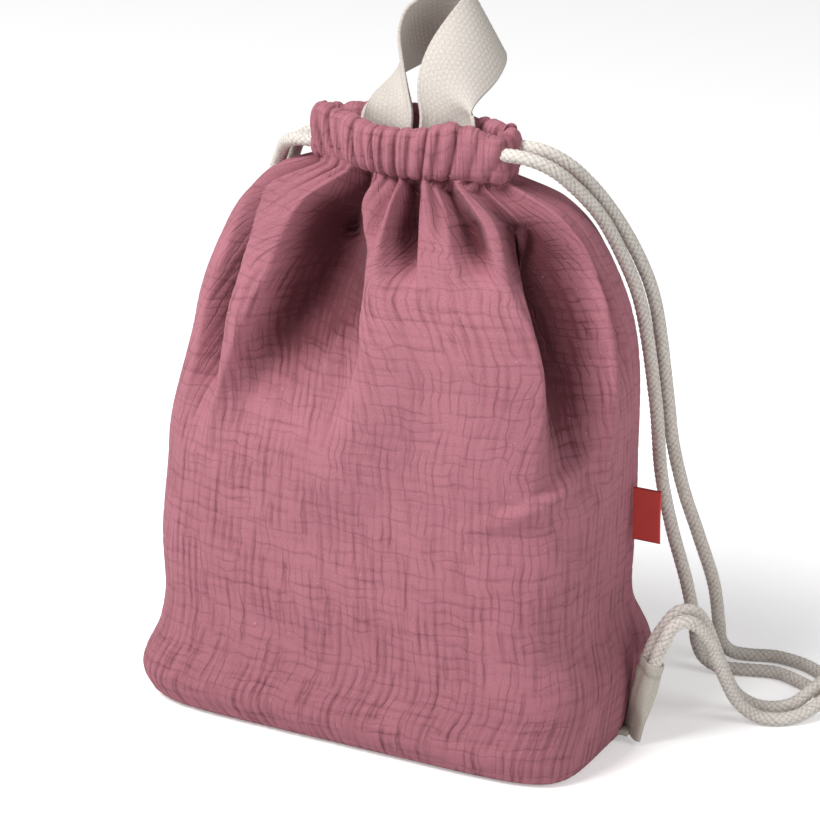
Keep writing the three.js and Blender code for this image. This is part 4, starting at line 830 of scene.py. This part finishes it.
# Corner tabs: short sleeves folded from cream canvas, each slipped over the two ends of a cord, stitched
# through them and sewn by a flat tail into the side seam near the floor.
STITCH_HEIGHT = 37
TAIL_ROWS = 16
TAIL_COLUMNS = 20
# The darker canvas colour is painted shade in the stitched crease and the dents, and also random patches of
# tone.
cream_canvas = cloth_finish("cream_canvas", (0.58, 0.55, 0.475, 1), (0.33, 0.3, 0.25, 1),
                            (0.66, 0.63, 0.56, 1), threads=1500.0, rough=0.9, sheen=0.06, bump=0.00015,
                            fleck_from=0.72)
for owner, outward in (("right", 1), ("left", -1)):
    foot, turned = tab_frames[owner]
    heights = np.concatenate([np.linspace(0, TAB_LENGTH, 70), TAB_LENGTH + np.array([0.5, 0.6, 0.3]),
                              np.linspace(TAB_LENGTH - 0.5, TAB_LENGTH - 12, 14)])
    inner = np.concatenate([np.zeros(70), [0.35, 0.8, 1.1], np.full(14, 1.25)])
    angle = np.linspace(0, 2 * np.pi, 72, endpoint=False)
    filled = ease((heights - 8) / 14)
    half_wide = 8.3 - 0.5 * filled - inner
    half_thick = 2.2 + 2.6 * filled - inner - 0.5 * np.exp(-((heights - STITCH_HEIGHT) / 1.6) ** 2)
    c, s = np.cos(angle), np.sin(angle)
    u = np.sign(c) * np.abs(c) ** (2 / 3)
    v = np.sign(s) * np.abs(s) ** (2 / 2.4)
    waist = 1 - 0.16 * filled[:, None] * np.exp(-(u[None] / 0.22) ** 2)
    local = np.stack([u[None] * half_wide[:, None], v[None] * half_thick[:, None] * waist,
                      np.broadcast_to(heights[:, None], (len(heights), len(angle)))], -1)
    dents_and_bulges = soft_noise(local[..., 0] / 5 + 9, local[..., 2] / 7, 61) - 0.5
    local[..., 1] += 0.5 * dents_and_bulges * np.sign(v)[None]
    rings = foot + local @ turned.T
    rings[..., 2] = np.maximum(rings[..., 2], 0.3)
    uv = np.stack(np.broadcast_arrays(angle[None] * 7, heights[:, None]), -1)
    # Painted shade: darker in the stitched crease and where the canvas is dented in.
    crease = 0.5 * np.exp(-((heights - STITCH_HEIGHT) / 1.3) ** 2)[:, None]
    crease = crease + 0.3 * np.clip(-dents_and_bulges, 0, 1)
    faces = tube_faces(len(heights), len(angle))
    sleeve = new_piece(f"{owner}_canvas_sleeve", rings.reshape(-1, 3), faces, cream_canvas,
                       uv=uv.reshape(-1, 2), furrow=crease.ravel(), crisp=True)
    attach(sleeve, "bag")
    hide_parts(f"{owner}_tab")
    seam = right_seam if outward > 0 else left_seam
    reach = np.linspace(seam + outward * 0.2, foot[0], TAIL_ROWS)
    wide = np.linspace(-6, 6, TAIL_COLUMNS)
    x, y = np.meshgrid(reach, foot[1] + wide, indexing="ij")
    rise = 5.2 + 0.4 * np.sin(np.linspace(0, np.pi, TAIL_ROWS))[:, None] + 0 * y
    top, bottom = np.stack([x, y, rise + 1.1], -1), np.stack([x, y, rise - 1.1], -1)
    points = np.concatenate([top.reshape(-1, 3), bottom.reshape(-1, 3)])
    shift = TAIL_ROWS * TAIL_COLUMNS
    at = np.arange(shift).reshape(TAIL_ROWS, TAIL_COLUMNS)
    border = np.concatenate([at[0, :-1], at[:-1, -1], at[-1, :0:-1], at[:0:-1, 0]])
    rim = np.stack([border, np.roll(border, -1), np.roll(border, -1) + shift, border + shift], -1)
    flip = outward < 0
    faces = [grid_faces(TAIL_ROWS, TAIL_COLUMNS, 0, not flip),
             grid_faces(TAIL_ROWS, TAIL_COLUMNS, shift, flip),
             rim if flip else rim[:, ::-1]]
    tail = new_piece(f"{owner}_canvas_tail", points, faces, cream_canvas, uv=points[:, :2],
                     furrow=np.zeros(2 * shift), crisp=True)
    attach(tail, "bag")

# Hand loop: one length of cream twill webbing. Its two ends are sewn side by side inside the back lip, and
# the free loop between them is rolled like a cone that leans back, so its inner face shows on the left.
WEBBING_WIDTH = 38.0
WEBBING_THICK = 1.8
HANDLE_Y = 6.2
LOOP_FOOT = 302.9
LOOP_TIP = np.array([4.2, 38.0, LOOP_FOOT + 64.0])
LOOP_SLOPE = np.radians(27.5)
LOOP_REACH = 33.0
WEBBING_HALF = WEBBING_WIDTH / 2
RIB_WIDTH = 2.4
BULGE_BEARING = np.radians(207.5)
# The darker cream is painted shade in the twill's grooves; it also darkens both edges and random patches.
cream_webbing = cloth_finish("cream_webbing", (0.68, 0.63, 0.58, 1), (0.48, 0.435, 0.39, 1),
                             (0.74, 0.71, 0.67, 1), threads=1700.0, rough=0.86, sheen=0.05, bump=0.00008,
                             fleck_from=0.74)
widths = WEBBING_HALF * np.linspace(-1, 1, 121)


def on_cone(along, across):
    """Points of the rolled loop, so far along the webbing from its top and across it."""
    reach = np.hypot(along, LOOP_REACH + across)
    bearing = np.radians(49) - np.arctan2(along, LOOP_REACH + across) / np.sin(LOOP_SLOPE)
    level, drop = reach * np.sin(LOOP_SLOPE), -reach * np.cos(LOOP_SLOPE)
    return LOOP_TIP + np.stack([level * np.cos(bearing), level * np.sin(bearing), drop], -1)


def cupped_foot(side, foot_x, cup):
    """Points across the foot of a leg, whose two edges curl towards the front of the mouth."""
    curl, radius = cup * widths / WEBBING_HALF, WEBBING_HALF / cup
    across, back = foot_x + side * radius * np.sin(curl), HANDLE_Y - radius * (1 - np.cos(curl))
    return np.stack([across, back, 0 * curl], 1)


# Each leg: its side, the middle of its foot, how far up it leaves the cone, how soon, and its cupping.
legs = {"left": (-1, -9.5, 17.0, 0.9, 1.5), "right": (1, 22.0, 24.0, 1.5, 1.35)}
half_length = np.sqrt(((LOOP_TIP[2] - LOOP_FOOT) / np.cos(LOOP_SLOPE)) ** 2 - LOOP_REACH ** 2)
bulge_way = np.array([np.cos(BULGE_BEARING), np.sin(BULGE_BEARING), 0])
rows = []
for along in np.linspace(-half_length, half_length, 190):
    side, foot_x, leave, soon, cup = legs["left" if along < 0 else "right"]
    height = on_cone(along, 0.0)[2]
    rise = height - LOOP_FOOT
    settled = np.clip((leave - rise) / leave, 0, 1) ** soon
    bulge = 13.0 * ease(rise / 34) * ease(-along / 26)
    rolled = on_cone(along, widths) + bulge * bulge_way
    foot = cupped_foot(side, foot_x, cup) + np.array([0, 0, height])
    rows.append(rolled + settled * (foot - rolled))
sunk = np.linspace(276.3, LOOP_FOOT, 37)[:-1]
feet = {}
for end_name, (side, foot_x, _, _, cup) in legs.items():
    low, high = (rows[0], rows[6]) if side < 0 else (rows[-1], rows[-7])
    lean = ((low - high) / np.abs(low - high)[:, 2:].mean()).clip(-0.45, 0.45) * (0.2, 1.0, 1.0)
    carried_on = (LOOP_FOOT - sunk) * ease((sunk - 283) / 14)
    feet[end_name] = cupped_foot(side, foot_x, cup) + lean * carried_on[:, None, None]
    feet[end_name][..., 2] = sunk[:, None]
webbing = np.concatenate([feet["left"], np.array(rows), feet["right"][::-1]])
for axis in range(3):
    smoothed = np.apply_along_axis(np.convolve, 0, webbing[..., axis], soft_window(21), mode="valid")
    webbing[10:-10, :, axis] = smoothed
facing = -grid_normals(webbing)
run = run_along(webbing[:, len(widths) // 2])
rib = np.floor(widths / RIB_WIDTH)
twill = np.sin(np.pi * (widths / RIB_WIDTH - rib))[None] ** 0.7
twill = 0.16 * twill * (0.55 + 0.45 * np.sin(2 * np.pi * run[:, None] / 2.6 + np.pi * (rib[None] % 2)))
edge = np.sqrt(np.clip(1 - np.clip((np.abs(widths) / WEBBING_HALF - 0.955) / 0.045, 0, 1) ** 2, 0, 1))
half = (WEBBING_THICK / 2 - 0.08) * edge[None] + twill * edge[None]
front, rear = webbing + facing * half[..., None], webbing - facing * half[..., None]
rings = np.concatenate([front, rear[:, -2:0:-1]], 1)
at, quads = ring_faces(*rings.shape[:2])
faces = [quads[:, [0, 3, 2, 1]], at[0, :-1][None], at[-1, :-1][None, ::-1]]
around = np.concatenate([widths, widths[-2:0:-1]])
uv = np.stack(np.broadcast_arrays(around[None], run[:, None]), -1)
# Painted shade: darker in the twill's grooves between the ribs; the strip is also darker along both edges.
roughness_and_twill_shade = np.concatenate([twill, twill[:, -2:0:-1]], 1)
roughness_and_twill_shade = 0.5 - 3.0 * roughness_and_twill_shade + 0.25 * (np.abs(around) > WEBBING_HALF - 1.2)[None]
loop = new_piece("hand_loop_webbing", rings.reshape(-1, 3), faces, cream_webbing, uv=uv.reshape(-1, 2),
                 furrow=roughness_and_twill_shade.clip(0, 1).ravel(), crisp=True)
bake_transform(loop)
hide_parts("handle_loop", "handle_left_end", "handle_right_end")

# Side label: a short strip of red woven ribbon folded in half, without any lettering. Its two raw ends are
# caught in the right side seam and its fold stands out to the side.
label_red = cloth_finish("red_label", (0.62, 0.075, 0.068, 1), (0.38, 0.04, 0.036, 1), (0.7, 0.15, 0.13, 1),
                         threads=2600.0, rough=0.62, sheen=0.05, bump=0.00012, fleck_from=0.78)
LABEL_LOW = 96.0
LABEL_HIGH = 123.0
LABEL_SEAM = 108.27
LABEL_WIDE = 14.5
LABEL_FOLD = 0.6
LABEL_Y = 25.0
t = np.linspace(0, 1, 40)
flat = LABEL_SEAM + (LABEL_WIDE - LABEL_FOLD) * t
turn = np.pi * t[1:-1]
turn_x = LABEL_SEAM + LABEL_WIDE - LABEL_FOLD + LABEL_FOLD * np.sin(turn)
outline = np.concatenate([np.stack([flat, np.full(len(t), -LABEL_FOLD)], 1),
                          np.stack([turn_x, -LABEL_FOLD * np.cos(turn)], 1),
                          np.stack([flat[::-1], np.full(len(t), LABEL_FOLD)], 1)])
levels = np.linspace(LABEL_LOW, LABEL_HIGH, 60)
curl = 0.5 * np.sin(np.pi * (levels - LABEL_LOW) / (LABEL_HIGH - LABEL_LOW))[:, None]
curl = curl * ((outline[:, 0] - LABEL_SEAM) / LABEL_WIDE)[None] ** 2
across, up = np.broadcast_arrays(outline[:, 0][None], levels[:, None])
rings = np.stack([across, LABEL_Y + outline[:, 1] - curl, up], -1)
uv = np.stack([across + np.where(outline[:, 1] > 0, 40, 0), up], -1)
edge = np.minimum(levels - LABEL_LOW, LABEL_HIGH - levels)
selvedge = np.broadcast_to(0.8 * (edge < 0.9)[:, None], curl.shape)
label = new_piece("side_label_ribbon", rings.reshape(-1, 3), tube_faces(*curl.shape), label_red,
                  uv=uv.reshape(-1, 2), furrow=selvedge.ravel(), crisp=True)
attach(label, "label")
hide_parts("side_label")

# Studio: a pale floor, a broad soft key from the upper left front, a weaker fill from the right and an even
# white surround. The floor and the surround look brighter to the camera than the light they give.
floor_mesh = bpy.data.meshes.new("studio_floor")
floor_mesh.from_pydata([(-6, -6, 0), (6, -6, 0), (6, 6, 0), (-6, 6, 0)], [], [(0, 1, 2, 3)])
floor = bpy.data.objects.new("studio_floor", floor_mesh)
bpy.context.collection.objects.link(floor)
floor_white = bpy.data.materials.new("floor_white")
floor_white.use_nodes = True
tree = floor_white.node_tree
tree.nodes.clear()
matt = place(tree, "ShaderNodeBsdfDiffuse", {}, {"Color": (0.9, 0.9, 0.9, 1)})
seen = tree.nodes.new("ShaderNodeLightPath")
glow = math(tree, "MULTIPLY", seen.outputs["Is Camera Ray"], 0.36)
lift = place(tree, "ShaderNodeEmission", {}, {"Strength": glow})
both = place(tree, "ShaderNodeAddShader", {}, {0: matt.outputs[0], 1: lift.outputs[0]})
place(tree, "ShaderNodeOutputMaterial", {}, {"Surface": both.outputs[0]})
floor_mesh.materials.append(floor_white)
floor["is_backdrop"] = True

world = bpy.data.worlds.new("studio_surround")
world.use_nodes = True
bpy.context.scene.world = world
sky = world.node_tree.nodes["Background"]
sky.inputs["Color"].default_value = (1, 1, 1, 1)
seen = world.node_tree.nodes.new("ShaderNodeLightPath")
bright = math(world.node_tree, "MULTIPLY_ADD", seen.outputs["Is Camera Ray"], 0.8)
bright.node.inputs[2].default_value = 0.22
world.node_tree.links.new(bright, sky.inputs["Strength"])


def soft_lamp(name, place_at, aim, size, watts):
    """A round area lamp aimed at a point."""
    lamp = bpy.data.lights.new(name, "AREA")
    lamp.shape = "DISK"
    lamp.size = size
    lamp.energy = watts
    stand = bpy.data.objects.new(name, lamp)
    stand.location = place_at
    heading = np.array(aim) - np.array(place_at)
    stand.rotation_euler = mathutils.Vector(heading).to_track_quat("-Z", "Y").to_euler()
    bpy.context.collection.objects.link(stand)


soft_lamp("key_lamp", (-0.8, -1.25, 2.05), (0, 0, 0.14), 1.2, 64)
soft_lamp("fill_lamp", (2.0, -0.4, 1.5), (0, 0, 0.12), 1.2, 16)

# Camera: a long lens from the right of the front and above, its focal length counted in pixels of a
# square picture.
PICTURE_PIXELS = 820
FOCAL_PIXELS = 3536
SENSOR_WIDTH = 36
azimuth, elevation, distance = np.radians(27.5), np.radians(21.5), 1.714
level = np.cos(elevation)
back = np.array([np.sin(azimuth) * level, -np.cos(azimuth) * level, np.sin(elevation)])
lens = bpy.data.cameras.new("view_camera")
lens.sensor_width = SENSOR_WIDTH
lens.lens = SENSOR_WIDTH * FOCAL_PIXELS / PICTURE_PIXELS
camera = bpy.data.objects.new("view_camera", lens)
camera.location = np.array([0, 0, 0.1516]) + back * distance
camera.rotation_euler = (np.pi / 2 - elevation, 0, azimuth)
bpy.context.collection.objects.link(camera)
bpy.context.scene.camera = camera
bpy.context.scene.view_settings.view_transform = "Standard"

low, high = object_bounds()
